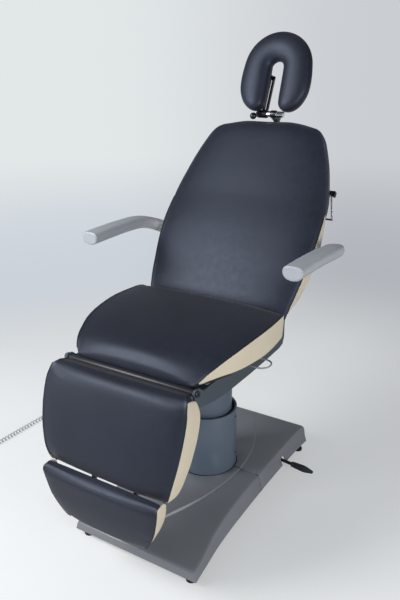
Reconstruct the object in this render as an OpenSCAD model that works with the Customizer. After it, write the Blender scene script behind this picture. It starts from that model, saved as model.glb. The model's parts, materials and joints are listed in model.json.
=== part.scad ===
/* [Base] */
// Distance from the column axis to the front edge of the base
base_front = 535; // [520:1:580]
// Distance from the column axis to the rear edge of the base
base_rear = 465; // [455:1:500]
// Half width of the base covers at their waist
base_half = 258; // [252:1:275]
// Extra half width where the covers flare at the front
base_flare = 15; // [8:1:20]
// Height of the flat top of the covers above the floor
base_top = 121; // [116:1:128]
// Height of the front lip of the covers
lip_top = 67; // [64:1:74]
// Height of the lower edge of the covers
skirt_gap = 28; // [24:1:30]
// Wall of the base covers
cover_wall = 4; // [3:0.5:5]
// Half width of the raised leaf round the column
leaf_half = 152; // [145:1:160]
// Radius of each long edge of the leaf
leaf_radius = 630; // [600:5:680]
// Step of the leaf above the covers
leaf_step = 5; // [3:0.5:7]
/* [Column] */
// Outer radius of the fixed collar
collar_r = 123; // [122:1:128]
// Wall of the fixed collar
collar_wall = 8; // [6:0.5:9]
// Top of the collar above the floor
collar_top = 389; // [380:1:398]
// Outer radius of the sliding column
column_r = 103; // [98:1:106]
// Wall of the sliding column
column_wall = 8; // [6:0.5:10]
// Top of the sliding column above the floor
column_top = 590; // [584:1:596]
// Height of the tilt shaft above the floor
tilt_z = 690; // [686:1:694]
// Radius of the tilt shaft
tilt_pin_r = 12; // [10:0.5:14]
/* [Seat] */
// How far the widest part of the seat lies outside its frame
seat_out = 70; // [59:1:79]
// Distance from the column axis to the front of the seat
seat_front = 481; // [474:1:482]
// Distance from the column axis to the rear of the seat
seat_rear = 38; // [30:1:39]
// Height of the underside of the seat cushion
seat_z = 760; // [758:1:764]
// Thickness of the seat at its seam
seat_thick = 96; // [88:1:100]
// Rise of the seat crown above its seam
seat_crown = 14; // [8:1:18]
// Outer half width of the seat frame
frame_half = 266; // [262:1:270]
// Thickness of the frame's side plates
plate_t = 8; // [6:0.5:8]
/* [Hinge bar] */
// Distance of the leg rest's hinge bar in front of the column axis
bar_front = 501; // [500:1:505]
// Height of the hinge bar
bar_z = 755; // [752:1:760]
// Outer radius of the tube on the hinge bar
bar_r = 11; // [10:0.5:12]
// Radius of the rod inside the hinge bar
bar_rod_r = 7.5; // [6.5:0.5:8]
/* [Backrest] */
// Lean of the backrest from the vertical
back_lean = 34; // [32:1:36]
// Distance of the backrest hinge behind the column axis
back_y = 125; // [124:1:130]
// Height of the backrest hinge
back_z = 820; // [818:1:824]
// Length of the backrest above its hinge
back_l = 765; // [750:1:775]
// How far the widest part of the backrest lies outside the seat frame
back_out = 84; // [76:1:90]
// Height of the backrest's seam above its hinge
back_face = 81; // [74:1:82]
// Rise of the backrest's crown above its seam
back_crown = 22; // [14:1:24]
// Radius of the backrest's hinge pins
back_pin_r = 10; // [8:0.5:11]
/* [Leg rest] */
// Lean of the leg rest from the vertical
leg_lean = 18; // [16:1:20]
// Length of the leg rest below its hinge
leg_l = 366; // [355:1:370]
// How far the widest part of the leg rest lies outside the seat frame
leg_out = 22; // [16:1:28]
// Height of the leg rest's seam above its hinge
leg_face = 76; // [70:1:80]
// Rise of the leg rest's crown above its seam
leg_crown = 11; // [6:1:14]
/* [Foot rest] */
// Length of the foot pad
foot_l = 206; // [198:1:208]
// How far the foot pad's widest part lies inside the outside of the seat frame
foot_in = 21; // [16:1:28]
// Distance of the foot pad's middle in front of the column axis
foot_front = 660; // [657:1:664]
// Height of the foot pad's middle
foot_z = 327; // [325:1:328]
// Tuck of the foot pad past the vertical
foot_tuck = 7.6; // [6:0.2:9]
// Seam of the foot pad above its middle plane
foot_face = 33; // [30:1:36]
// Rise of the foot pad's crown above its seam
foot_crown = 8; // [4:1:11]
/* [Armrests] */
// Distance of each armrest's line outside the widest part of the backrest
arm_out = 75; // [70:1:80]
// Distance of the armrest's front end in front of the column axis
arm_front = 168; // [155:1:180]
// Height of the middle of the armrest's front end
arm_z = 1077; // [1072:1:1082]
// Half width of the armrest
arm_half = 38; // [35:0.5:40]
// Half height of the armrest
arm_half_h = 26; // [24:0.5:28]
// Radius of the armrest's pivot pin
arm_pin_r = 11; // [9:0.5:12]
/* [Head rest] */
// Width of the horseshoe head cushion
head_w = 304; // [292:1:308]
// Length of the horseshoe head cushion
head_l = 328; // [318:1:330]
// Thickness of the head cushion
head_thick = 70; // [64:1:71]
// Width of the slot in the head cushion
head_slot = 56; // [54:1:62]
// Lean of the head cushion from the vertical
head_lean = 20; // [18:1:22]
// Distance of the head cushion's middle behind the cross tube
head_back = 16.5; // [16:0.5:18]
// Height of the head cushion's middle above the cross tube
head_rise = 170; // [169:0.5:174]
// Radius of the cross tube
cross_r = 12.5; // [11:0.5:13]
/* [Mains lead] */
// Diameter of the cable
cable_d = 6; // [5.5:0.1:6.2]
// Outer diameter of the curls
curl_d = 20; // [18:0.5:20]
// Length of route that each curl takes
curl_pitch = 17.5; // [16:0.5:20]

/* [Hidden] */
$fn = 48;

// Overrun of a cut past the face that it leaves
over = 1;
// Radial running clearance of a shaft in its bore
fit = 0.05;
// Clearance of a piece that slides in a slot or rests on a turning seat
seat_fit = 0.3;
// Side clearance between two plates that turn past each other
side_gap = 2;
// Thickness of the boards that the cushions stand on
board_t = 12;
// Thickness of the cream side panels
panel_t = 9;
// How far a quarter round's middle lies from the corner, as a share of its radius
round_share = 0.293;
// Thinnest part of a side panel that is still made, as a share of its thickness
thin_share = 0.3;
// Lowest part of a side panel that is still made, as a share of its thickness
low_share = 0.4;

// Largest half widths of the pads, and the line of the armrests
seat_half = frame_half + seat_out;
back_half = frame_half + back_out;
leg_half = frame_half + leg_out;
foot_half = frame_half - foot_in;
arm_x = back_half + arm_out;

left = -1;
right = 1;
sides = [left, right];

// Colours
anthracite = [0.19, 0.205, 0.25];
cream = [0.87, 0.83, 0.75];
cover_grey = [0.37, 0.385, 0.415];
column_grey = [0.42, 0.455, 0.5];
slate = [0.28, 0.32, 0.355];
black = [0.05, 0.05, 0.055];
frame_black = [0.16, 0.16, 0.18];
steel = [0.6, 0.61, 0.63];
light_grey = [0.69, 0.7, 0.74];
board_black = [0.12, 0.11, 0.11];

// Mean of a list of points
function sum_of(list, i = 0) = i < len(list) ? list[i] + sum_of(list, i + 1) : 0;
function mean(points) = [for (k = [0:len(points[0]) - 1]) sum_of([for (p = points) p[k]]) / len(points)];
// Smooth run through rows of numbers, where s counts rows from 0
function smooth(rows, s) =
    let (last = len(rows) - 1, i = min(floor(s), last - 1), t = s - i,
        a = rows[max(i - 1, 0)], b = rows[i], c = rows[i + 1], d = rows[min(i + 2, last)])
    b + t / 2 * ((c - a) + t * ((2 * a - 5 * b + 4 * c - d) + t * (3 * b - 3 * c + d - a)));
// The same run, looked up by the value in the rows' first column
function row_of(rows, v, i = 0) = i >= len(rows) - 2 || rows[i + 1][0] > v ? i : row_of(rows, v, i + 1);
function along(rows, v) = let (i = row_of(rows, v)) smooth(rows, i + (v - rows[i][0]) / (rows[i + 1][0] - rows[i][0]));
// A table of shares turned into sizes, column by column
function sized(shares, sizes) = [for (r = shares) [for (k = [0:len(r) - 1]) r[k] * sizes[k]]];
// Extra rows between those of a table
function finer(rows, per) = [for (i = [0:(len(rows) - 1) * per]) smooth(rows, i / per)];
// The same rows with an underside that nowhere sinks below the board
function settled(rows, end, low) = [for (r = rows) [r[0], r[1], r[2], r[0] < end ? max(low, r[3]) : r[3], r[4], r[5]]];
function flip(list) = [for (i = [len(list) - 1:-1:0]) list[i]];

// Closed skin of triangles over rings that all have the same number of points
module loft(rings) {
    n = len(rings[0]);
    m = len(rings);
    points = concat([for (r = rings) each r], [mean(rings[0]), mean(rings[m - 1])]);
    walls = [for (i = [0:m - 2], j = [0:n - 1]) let (k = (j + 1) % n)
        each [[i * n + j, (i + 1) * n + j, (i + 1) * n + k], [i * n + j, (i + 1) * n + k, i * n + k]]];
    starts = [for (j = [0:n - 1]) [n * m, j, (j + 1) % n]];
    ends = [for (j = [0:n - 1]) [n * m + 1, (m - 1) * n + (j + 1) % n, (m - 1) * n + j]];
    polyhedron(points, concat(walls, starts, ends), convexity = 6);
}
// Ring of an outline round a point of a path, square to its direction
function ring_at(p, t, up, w, h, outline) =
    let (e = up - (up * t) * t, u = e / norm(e), v = cross(t, u))
    [for (q = outline) p + q[0] * w * v + q[1] * h * u];
// Box given by its lowest and highest corners
module box(low, high) {
    translate(low) cube(high - low);
}
// Round bar or hole along X, from one x to another
module along_x(x0, x1, r) {
    translate([x0, 0, 0]) rotate([0, 90, 0]) cylinder(h = x1 - x0, r = r);
}
// The same child on both sides of the chair
module both_sides() {
    children();
    mirror([1, 0, 0]) children();
}

// Local frames: X across, Y along the piece away from its hinge, Z out of its face
module at_back() {
    translate([0, back_y, back_z]) rotate([90 - back_lean, 0, 0]) children();
}
module at_leg() {
    translate([0, -bar_front, bar_z]) rotate([90 - leg_lean, 0, 0]) mirror([0, 1, 0]) children();
}
module at_foot() {
    translate([0, -foot_front, foot_z]) rotate([90 + foot_tuck, 0, 0]) mirror([0, 1, 0])
        translate([0, -foot_l / 2, 0]) children();
}
module at_head() {
    translate([0, head_y, head_z]) rotate([90 - head_lean, 0, 0]) children();
}
module at_seat() {
    translate([0, seat_rear, seat_z]) mirror([0, 1, 0]) children();
}

// Rows of a pad: station, half width, seam, underside, crown, depth of its side panel
crown_power = 2.6;
crown_shares = [1, 0.86, 0.5, 0, -0.5, -0.86, -1];
// The top reaches over its side panels by a slanted lip
lip_h = 4;
lip_in = 1.5;
lip_shares = [0.4, 0.6];
function lip_of(r) = lip_h * (lip_shares[0] + lip_shares[1] * min(1, r[5] / panel_t));
function core_ring(r) =
    let (inner = r[1] - r[5], n = r[2] - lip_of(r))
    concat([[-inner, r[0], r[3]], [-inner, r[0], n]],
        [for (q = crown_shares) [-r[1] * q, r[0], r[2] + r[4] * (1 - pow(abs(q), crown_power))]],
        [[inner, r[0], n], [inner, r[0], r[3]]]);
module core(rows) {
    loft([for (r = rows) core_ring(r)]);
}
// Ring of a side panel: its inner wall stands on the core and its top lies under the lip
panel_rim_share = 0.3;
seam_fit = 0.2;
function panel_ring(r, edge) =
    let (inner = r[1] - r[5] + seam_fit, lip = lip_of(r), out = r[1] - lip_in, rim = min(r[5], r[2] - edge) * panel_rim_share)
    [[inner, r[0], edge], [inner, r[0], r[2] - lip - seam_fit], [out, r[0], r[2] - lip * lip_in / r[5] - seam_fit],
        [out + lip_in / 2, r[0], r[2] - lip], [out + lip_in / 2, r[0], (r[2] + edge) / 2], [out - rim, r[0], edge]];
module side_panel(side, rows, edges) {
    kept = [for (r = rows) if (r[0] >= edges[0][0] && r[0] <= edges[len(edges) - 1][0] && r[5] > thin_share * panel_t
        && r[2] - along(edges, r[0])[1] > low_share * panel_t) r];
    mirror([side < 0 ? 1 : 0, 0, 0]) loft([for (r = kept) panel_ring(r, along(edges, r[0])[1])]);
}

// Base covers: two lofted shells that meet under the column
base_run = base_front + base_rear;
split_y = 10;
split_gap = 1.5;
cover_edge = 14;
cover_lean = 16;
// How much of the sides' lean is lost where the covers flare most
flare_in_share = 0.6;
arch_rise = 24;
rear_lift = 8;
leaf_rim = 3;
// Rise and flare of the covers from front to rear, as shares
cover_shares = [[0, 0, 1], [0.017, 0.01, 0.97], [0.06, 0.1, 0.8], [0.111, 0.236, 0.55], [0.15, 0.37, 0.3], [0.185, 0.51, 0.16],
    [0.24, 0.68, 0.05], [0.303, 0.82, 0], [0.39, 0.95, 0], [0.475, 1, 0], [0.7, 1, 0], [0.85, 1, 0.05], [0.935, 1, 0.18],
    [0.975, 0.95, 0.28], [1, 0.84, 0.3]];
// Step of the leaf along its own half length, as shares
leaf_shares = [[-1, 0.8], [-0.85, 2.3], [-0.5, 1.5], [0, 0.8], [0.5, 0.6], [0.9, 0.5], [1, 0.3]];
arch_power = 0.7;
leaf_len = sqrt(leaf_radius * leaf_radius - pow(leaf_radius - leaf_half, 2));
function base_share(y) = (y + base_front) / base_run;
function cover_half(y) = base_half + base_flare * along(cover_shares, base_share(y))[2];
function cover_in(y) = cover_lean * (1 - flare_in_share * along(cover_shares, base_share(y))[2]);
function cover_z(y) = lip_top + (base_top - lip_top) * along(cover_shares, base_share(y))[1];
function skirt_z(y) = skirt_gap + rear_lift * base_share(y) + arch_rise * pow(max(0, sin(180 * base_share(y))), arch_power);
function leaf_at(y) = abs(y) < leaf_len ? max(leaf_rim, sqrt(leaf_radius * leaf_radius - y * y) - (leaf_radius - leaf_half)) : leaf_rim;
function leaf_rise(y) = abs(y) < leaf_len ? leaf_step * along(leaf_shares, y / leaf_len)[1] : 0;
function mirrored(half_line, y, z) = concat([for (p = half_line) [-p[0], y, p[1]]], [[0, y, z]], [for (p = flip(half_line)) [p[0], y, p[1]]]);
function cover_ring(y, drop) =
    let (w = cover_half(y), z0 = skirt_z(y), zt = cover_z(y) - drop, lean = cover_in(y), wt = w - lean, e = min(cover_edge, (zt - z0) / 2),
        h = leaf_at(y), s = leaf_rise(y))
    mirrored([[w, z0], [wt + lean * round_share, (z0 + zt - e) / 2], [wt, zt - e],
        [wt - e * round_share, zt - e * round_share], [wt - e, zt], [h + leaf_rim, zt], [h, zt + s]], y, zt + s);
function hollow_ring(y) =
    let (w = cover_half(y) - cover_wall, z0 = skirt_z(y), zt = cover_z(y) - cover_wall, lean = cover_in(y), wt = w - lean, e = min(cover_edge, (zt - z0) / 2))
    mirrored([[w, 0], [w, z0], [wt + lean * round_share, (z0 + zt - e) / 2], [wt, zt - e], [wt - e, zt]], y, zt);
front_shares = [0, 0.012, 0.03, 0.07, 0.12, 0.17, 0.23, 0.3, 0.38, 0.47, 0.57, 0.68, 0.79, 0.9, 1];
rear_shares = [0, 0.12, 0.26, 0.4, 0.54, 0.68, 0.78, 0.86, 0.91, 0.96, 0.99, 1];
inner_shares = [0, 0.08, 0.18, 0.3, 0.45, 0.62, 0.8, 1];
pedal_y = 228;
pedal_slot_half = 17;
pedal_slot_top = 84;
gland_y = 300;
gland_z = 76;
gland_r = 11;
module cover_holes() {
    cylinder(h = collar_top, r = collar_r + over);
}
module base_cover_front() color(cover_grey) {
    run = base_front + split_y - split_gap / 2;
    difference() {
        loft([for (s = front_shares) cover_ring(run * s - base_front, s == 0 ? cover_edge * round_share : 0)]);
        loft([for (s = inner_shares) hollow_ring(cover_wall - base_front + (run - cover_wall + over) * s)]);
        cover_holes();
    }
}
module base_cover_rear() color(cover_grey) {
    start = split_y + split_gap / 2;
    run = base_rear - start;
    difference() {
        loft([for (s = rear_shares) cover_ring(start + run * s, s == 1 ? cover_edge * round_share : 0)]);
        loft([for (s = inner_shares) hollow_ring(start - over + (run - cover_wall + over) * s)]);
        cover_holes();
        box([base_half / 2, pedal_y - pedal_slot_half, 0], [base_half * 2, pedal_y + pedal_slot_half, pedal_slot_top]);
        translate([0, gland_y, gland_z]) along_x(-base_half * 2, -base_half / 2, gland_r + seat_fit);
    }
}

// Base frame: two rails, four cross members and a round flange
frame_low = 30;
frame_high = 54;
rail_x = 190;
rail_w = 40;
foot_x = 234;
foot_boss_r = 13;
foot_front_y = -502;
foot_rear_y = 432;
flange_r = 165;
flange_t = 12;
foot_r = 20;
foot_stem_r = 6;
foot_nut_r = 10;
foot_pad_h = 9;
foot_cone_h = 9;
module each_foot() {
    for (x = sides, y = [foot_front_y, foot_rear_y]) translate([x * foot_x, y, 0]) children();
}
module base_frame() color(frame_black) difference() {
    union() {
        both_sides() box([rail_x - rail_w / 2, foot_front_y, frame_low], [rail_x + rail_w / 2, foot_rear_y, frame_high]);
        for (y = [foot_front_y, foot_rear_y]) box([-foot_x, y - foot_boss_r, frame_low], [foot_x, y + foot_boss_r, frame_high]);
        for (y = [-flange_r, flange_r]) box([-rail_x, y - rail_w / 2, frame_low], [rail_x, y + rail_w / 2, frame_high]);
        translate([0, 0, frame_high]) cylinder(h = flange_t, r = flange_r);
        each_foot() translate([0, 0, frame_low]) cylinder(h = frame_high - frame_low, r = foot_boss_r);
    }
    each_foot() translate([0, 0, frame_low - over]) cylinder(h = frame_high - frame_low + over * 2, r = foot_stem_r);
}
module levelling_feet() color(black)
    each_foot() {
        cylinder(h = foot_pad_h, r = foot_r);
        translate([0, 0, foot_pad_h]) cylinder(h = foot_cone_h, r1 = foot_r, r2 = foot_nut_r);
        translate([0, 0, foot_pad_h + foot_cone_h]) cylinder(h = frame_low - foot_pad_h - foot_cone_h, r = foot_nut_r);
        translate([0, 0, frame_low]) cylinder(h = frame_high - frame_low, r = foot_stem_r);
    }

// Fixed collar with its guide ring and side screws
collar_low = frame_high + flange_t;
ring_drop = 13;
ring_h = 40;
screw_r = 3.5;
screw_h = 2.5;
screw_in = 2;
screw_turn = 12;
screw_low_z = 184;
screw_high_z = 355;
collar_screw_z = [screw_low_z, screw_high_z];
module collar_screw_set(r) {
    for (a = [screw_turn, screw_turn + 180], z = collar_screw_z)
        rotate([0, 0, a]) translate([collar_r - screw_in, 0, z]) along_x(0, screw_in + screw_h, r);
}
module column_collar() color(column_grey)
    difference() {
        translate([0, 0, collar_low]) cylinder(h = collar_top - collar_low, r = collar_r, $fn = 96);
        translate([0, 0, collar_low - over]) cylinder(h = collar_top - collar_low + over * 2, r = collar_r - collar_wall, $fn = 96);
        collar_screw_set(screw_r);
    }
module collar_screws() color(black) collar_screw_set(screw_r);
module guide_ring() color(frame_black)
    translate([0, 0, collar_top - ring_drop - ring_h]) difference() {
        cylinder(h = ring_h, r = collar_r - collar_wall, $fn = 96);
        translate([0, 0, -over]) cylinder(h = ring_h + over * 2, r = column_r + fit, $fn = 96);
    }

// Lift: motor tube on the base, screw and column above it
motor_r = 62;
motor_h = 44;
motor_tube_r = 34;
motor_tube_top = 372;
motor_floor = 78;
screw_rod_r = 20;
screw_rod_low = 262;
column_low = 250;
column_cap_t = 14;
screw_plate_t = 10;
hub_r = 46;
hub_gap = 6;
module lift_motor() color(slate)
    difference() {
        union() {
            translate([0, 0, collar_low]) cylinder(h = motor_h, r = motor_r);
            translate([0, 0, collar_low]) cylinder(h = motor_tube_top - collar_low, r = motor_tube_r);
        }
        translate([0, 0, motor_floor]) cylinder(h = motor_tube_top, r = screw_rod_r + fit);
    }
module lift_column() color(column_grey)
    difference() {
        translate([0, 0, column_low]) cylinder(h = column_top - column_low, r = column_r, $fn = 96);
        translate([0, 0, column_low - over]) cylinder(h = column_top - column_low - column_cap_t + over, r = column_r - column_wall);
        translate([0, 0, column_top - column_cap_t * 2]) cylinder(h = column_cap_t * 3, r = hub_r + fit);
    }
module lift_screw() color(steel) {
    top = column_top - column_cap_t - hub_gap;
    translate([0, 0, screw_rod_low]) cylinder(h = top - screw_rod_low, r = screw_rod_r);
    translate([0, 0, top - screw_plate_t]) cylinder(h = screw_plate_t, r = column_r - column_wall);
}

// Swivel and tilt bracket
bracket_t = 14;
bracket_r = 95;
ear_x = 44;
ear_t = 12;
ear_r = 24;
lug_t = 10;
pin_end = 6;
lug_x = ear_x + ear_t / 2 + side_gap;
bracket_low = column_top + seat_fit;
bracket_foot_half = 48;
module tilt_bracket() color(slate)
    difference() {
        union() {
            translate([0, 0, bracket_low]) cylinder(h = bracket_t, r = bracket_r);
            translate([0, 0, column_top - column_cap_t]) cylinder(h = column_cap_t + bracket_t, r = hub_r);
            for (s = sides) translate([s * ear_x - ear_t / 2, 0, 0]) {
                translate([0, 0, tilt_z]) along_x(0, ear_t, ear_r);
                box([0, -bracket_foot_half, bracket_low], [ear_t, bracket_foot_half, bracket_low + bracket_t * 2]);
                box([0, -ear_r, bracket_low], [ear_t, ear_r, tilt_z]);
            }
        }
        translate([0, 0, tilt_z]) along_x(-ear_x * 2, ear_x * 2, tilt_pin_r);
    }
module tilt_pin() color(steel)
    translate([0, 0, tilt_z]) along_x(-lug_x - lug_t - pin_end, lug_x + lug_t + pin_end, tilt_pin_r);

// Seat frame: two shaped side plates, cross beams and tilt lugs
board_z = seat_z - board_t;
plate_low = 662;
beam_h = 28;
beam_w = 40;
plate_in = frame_half - plate_t;
plate_run = bar_front + back_y;
plate_deep = board_z - plate_low;
bar_ear_r = 15;
neck_r = 26;
beam_shares = [0.11, 0.55, 0.92];
// Side outline: share of the run from bar to hinge, share of the depth below the board
plate_shares = [[-0.02, 0.1], [-0.002, 0.45], [0.05, 0.63], [0.17, 0.82], [0.325, 0.94], [0.6, 1], [0.85, 1], [0.97, 0.98],
    [1.02, 0.9], [1.041, 0.6], [1.0416, -0.84], [0.959, -0.84], [0.961, 0.12], [0.945, 0.36], [0.87, 0.44], [0.835, 0.36],
    [0.815, 0], [0.06, 0], [0.03, -0.2], [-0.02, -0.2]];
module seat_frame() color(slate)
    difference() {
        union() {
            both_sides() translate([plate_in, 0, 0]) {
                rotate([90, 0, 90]) linear_extrude(plate_t)
                    polygon([for (s = plate_shares) [s[0] * plate_run - bar_front, board_z - s[1] * plate_deep]]);
                translate([0, back_y, back_z]) along_x(0, plate_t, neck_r);
                translate([0, -bar_front, bar_z]) along_x(0, plate_t, bar_ear_r);
            }
            for (s = beam_shares) translate([0, s * (bar_front + seat_rear) - bar_front, 0])
                box([-plate_in, -beam_w / 2, board_z - beam_h], [plate_in, beam_w / 2, board_z]);
            both_sides() translate([lug_x, 0, 0]) {
                translate([0, 0, tilt_z]) along_x(0, lug_t, ear_r);
                box([0, -ear_r, tilt_z], [lug_t, ear_r, board_z]);
                box([0, -plate_run * beam_shares[0] * 3, board_z - beam_h], [lug_t, seat_rear / 2, board_z]);
            }
        }
        translate([0, 0, tilt_z]) along_x(-lug_x * 2, lug_x * 2, tilt_pin_r + fit);
        translate([0, back_y, back_z]) along_x(-frame_half * 2, frame_half * 2, back_pin_r);
        translate([0, -bar_front, bar_z]) along_x(-frame_half * 2, frame_half * 2, bar_rod_r);
    }

// Seat: station from the rear, half width, seam, underside, crown, panel
seat_l = seat_front + seat_rear;
seat_shares = [[0, 0.848, 0.72, 0.12, 0.4, 1], [0.0154, 0.93, 0.88, 0.03, 0.8, 1], [0.06, 0.968, 0.96, 0, 1, 1], [0.17, 0.988, 0.985, 0, 1, 1],
    [0.335, 1, 1, 0, 1, 1], [0.48, 0.987, 0.965, 0, 1, 1], [0.617, 0.961, 0.896, 0, 1, 1], [0.73, 0.925, 0.79, 0, 1.1, 1],
    [0.815, 0.881, 0.656, 0, 1.2, 1], [0.88, 0.845, 0.53, 0, 1.3, 1], [0.931, 0.804, 0.385, 0, 1.5, 0.95], [0.97, 0.76, 0.2, 0, 1.8, 0.65],
    [1, 0.7, 0.03, -0.12, 1.9, 0]];
seat_edge_shares = [[0.0154, 0.1], [0.06, 0.04], [0.335, 0], [0.48, 0.02], [0.617, 0.05], [0.73, 0.09], [0.815, 0.13], [0.88, 0.14],
    [0.931, 0.12], [0.97, 0.07], [0.985, 0.04]];
board_end_share = 0.965;
seat_rows = settled(finer(sized(seat_shares, [seat_l, seat_half, seat_thick, seat_thick, seat_crown, panel_t]), 2),
    seat_l * board_end_share, 0);
seat_edges = sized(seat_edge_shares, [seat_l, seat_thick]);
module seat_cushion() color(anthracite) at_seat() core(seat_rows);
module seat_side_left() color(cream) at_seat() side_panel(left, seat_rows, seat_edges);
module seat_side_right() color(cream) at_seat() side_panel(right, seat_rows, seat_edges);
seat_board_shares = [[0.03, 0.84], [0.7, 0.86], [0.86, 0.76], [0.94, 0.66]];
module seat_board() color(board_black)
    at_seat() translate([0, 0, -board_t]) linear_extrude(board_t)
        polygon(concat([for (s = seat_board_shares) [s[1] * seat_half, s[0] * seat_l]],
            [for (s = flip(seat_board_shares)) [-s[1] * seat_half, s[0] * seat_l]]));

// Wire ring for the hand control, on the right plate of the seat frame
ring_wire = 3;
ring_reach = 66;
ring_half = 37;
ring_y = -112;
ring_z = 700;
ring_bend = 34;
module ring_holder() color(light_grey)
    translate([frame_half, ring_y, ring_z]) {
        for (s = sides) translate([0, s * ring_half, 0]) along_x(0, ring_reach - ring_bend, ring_wire);
        translate([ring_reach, 0, 0]) rotate([90, 0, 0]) cylinder(h = (ring_half - ring_bend) * 2, r = ring_wire, center = true);
        for (s = sides) translate([ring_reach - ring_bend, s * (ring_half - ring_bend), 0])
            rotate([0, 0, s > 0 ? 0 : -90]) rotate_extrude(angle = 90) translate([ring_bend, 0]) circle(r = ring_wire, $fn = 24);
    }

// Hinge bar at the front of the seat, and the hinge pins of the backrest
cap_t = 7;
bolt_r = 5;
bolt_h = 4;
back_lug_t = 14;
pin_head_t = 4;
pin_head_share = 1.6;
module hinge_rod() color(steel)
    translate([0, -bar_front, bar_z]) along_x(-frame_half, frame_half, bar_rod_r);
module bar_end_caps() color(frame_black)
    both_sides() translate([frame_half, -bar_front, bar_z]) {
        along_x(0, cap_t, bar_r);
        translate([cap_t, 0, 0]) rotate([0, 90, 0]) cylinder(h = bolt_h, r = bolt_r, $fn = 6);
    }
back_pin_in = plate_in - side_gap - back_lug_t - side_gap;
module back_hinge_pins() color(steel)
    both_sides() translate([0, back_y, back_z]) {
        along_x(back_pin_in, frame_half, back_pin_r);
        along_x(frame_half, frame_half + pin_head_t, back_pin_r * pin_head_share);
    }

// Leg rest frame: hinge tube, two guide tubes and a cross plate
leg_tube_half = plate_in - side_gap;
guide_x = 90;
guide_r = 13;
guide_n = -14.5;
slide_r = 10;
guide_start = 60;
guide_end = 345;
arm_end = 90;
tie_start = 170;
tie_w = 40;
tie_t = 12;
module leg_frame() color(frame_black)
    at_leg() difference() {
        union() {
            along_x(-leg_tube_half, leg_tube_half, bar_r);
            both_sides() {
                box([guide_x - guide_r, bar_r / 2, guide_n - guide_r], [guide_x + guide_r, arm_end, guide_n + guide_r]);
                translate([guide_x, guide_start, guide_n]) rotate([-90, 0, 0]) cylinder(h = guide_end - guide_start, r = guide_r);
            }
            box([-guide_x, tie_start, guide_n - tie_t / 2], [guide_x, tie_start + tie_w, guide_n + tie_t / 2]);
        }
        along_x(-frame_half, frame_half, bar_rod_r + fit);
        both_sides() translate([guide_x, guide_start + arm_end / 2, guide_n]) rotate([-90, 0, 0]) cylinder(h = guide_end, r = slide_r + fit);
    }
leg_shares = [[0.014, 0.88, 0.6, 0.2, 0.4, 0.05], [0.032, 0.92, 0.76, 0.21, 0.8, 0.8], [0.06, 0.955, 0.88, 0.15, 1, 1], [0.12, 0.98, 0.95, 0, 1, 1],
    [0.216, 1, 0.985, 0, 1, 1], [0.416, 0.997, 1, 0, 1, 1], [0.618, 0.969, 0.96, 0, 1, 1], [0.72, 0.945, 0.91, 0, 1.05, 1],
    [0.817, 0.917, 0.842, 0, 1.1, 1], [0.88, 0.895, 0.75, 0.05, 1.15, 1], [0.94, 0.865, 0.62, 0.14, 1.2, 0.9], [0.975, 0.83, 0.5, 0.24, 1.1, 0.6],
    [1, 0.77, 0.38, 0.3, 0.7, 0]];
leg_edge_shares = [[0.055, 0.2], [0.06, 0.12], [0.12, -0.1], [0.216, -0.22], [0.416, -0.24], [0.618, -0.22], [0.72, -0.21], [0.817, -0.21],
    [0.88, -0.19], [0.94, -0.1], [0.975, 0.08]];
leg_rows = settled(finer(sized(leg_shares, [leg_l, leg_half, leg_face, leg_face, leg_crown, panel_t]), 2), leg_l, 0);
leg_edges = sized(leg_edge_shares, [leg_l, leg_face]);
module leg_cushion() color(anthracite) at_leg() core(leg_rows);
module leg_side_left() color(cream) at_leg() side_panel(left, leg_rows, leg_edges);
module leg_side_right() color(cream) at_leg() side_panel(right, leg_rows, leg_edges);
// Moulded tray under the leg rest
tray_t = 3;
leg_tray_n = guide_n - guide_r;
leg_tray_shares = [[0.1, 0.85], [0.2, 0.875], [0.45, 0.875], [0.7, 0.85], [0.85, 0.8], [0.9, 0.76]];
function tray_line(shares, length, half, inset) = concat(
    [for (s = shares) [s[1] * half - inset, s[0] * length]], [for (s = flip(shares)) [inset - s[1] * half, s[0] * length]]);
module leg_shell() color(slate)
    at_leg() difference() {
        translate([0, 0, leg_tray_n - tray_t]) linear_extrude(tray_t - leg_tray_n) polygon(tray_line(leg_tray_shares, leg_l, leg_half, 0));
        translate([0, tray_t, leg_tray_n]) linear_extrude(-leg_tray_n + over)
            polygon(tray_line(leg_tray_shares, leg_l - tray_t * 2, leg_half, tray_t));
        both_sides() box([guide_x - guide_r - over, 0, leg_tray_n], [guide_x + guide_r + over, leg_l, over]);
    }

// Foot rest on two slide tubes
slide_in = 170;
slide_out = 455;
foot_back_share = -0.2;
foot_board_n = foot_face * foot_back_share - board_t;
foot_arm_u = 82;
foot_arm_l = 34;
foot_arm_deep = 30;
module foot_frame() color(steel) {
    at_leg() both_sides() translate([guide_x, slide_in, guide_n]) rotate([-90, 0, 0]) cylinder(h = slide_out - slide_in, r = slide_r);
    at_foot() both_sides() box([guide_x - slide_r, foot_arm_u, foot_board_n - foot_arm_deep], [guide_x + slide_r, foot_arm_u + foot_arm_l, foot_board_n]);
    at_foot() box([-guide_x, foot_arm_u, foot_board_n - tie_t], [guide_x, foot_arm_u + foot_arm_l, foot_board_n]);
}
foot_shares = [[0, 0.955, 0.35, -0.2, 0.3, 0], [0.02, 0.968, 0.62, -0.2, 0.7, 0.4], [0.06, 0.975, 0.78, -0.2, 1, 1], [0.11, 0.972, 0.84, -0.2, 1, 1],
    [0.3, 0.935, 0.9, -0.2, 1, 1], [0.5, 0.89, 0.96, -0.2, 1, 1], [0.7, 0.815, 0.92, -0.2, 1, 1], [0.85, 0.74, 0.84, -0.15, 1, 1],
    [0.93, 0.685, 0.77, -0.02, 1, 0.95], [0.975, 0.6, 0.66, 0.1, 0.9, 0.5], [1, 0.49, 0.48, 0.22, 0.5, 0]];
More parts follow.
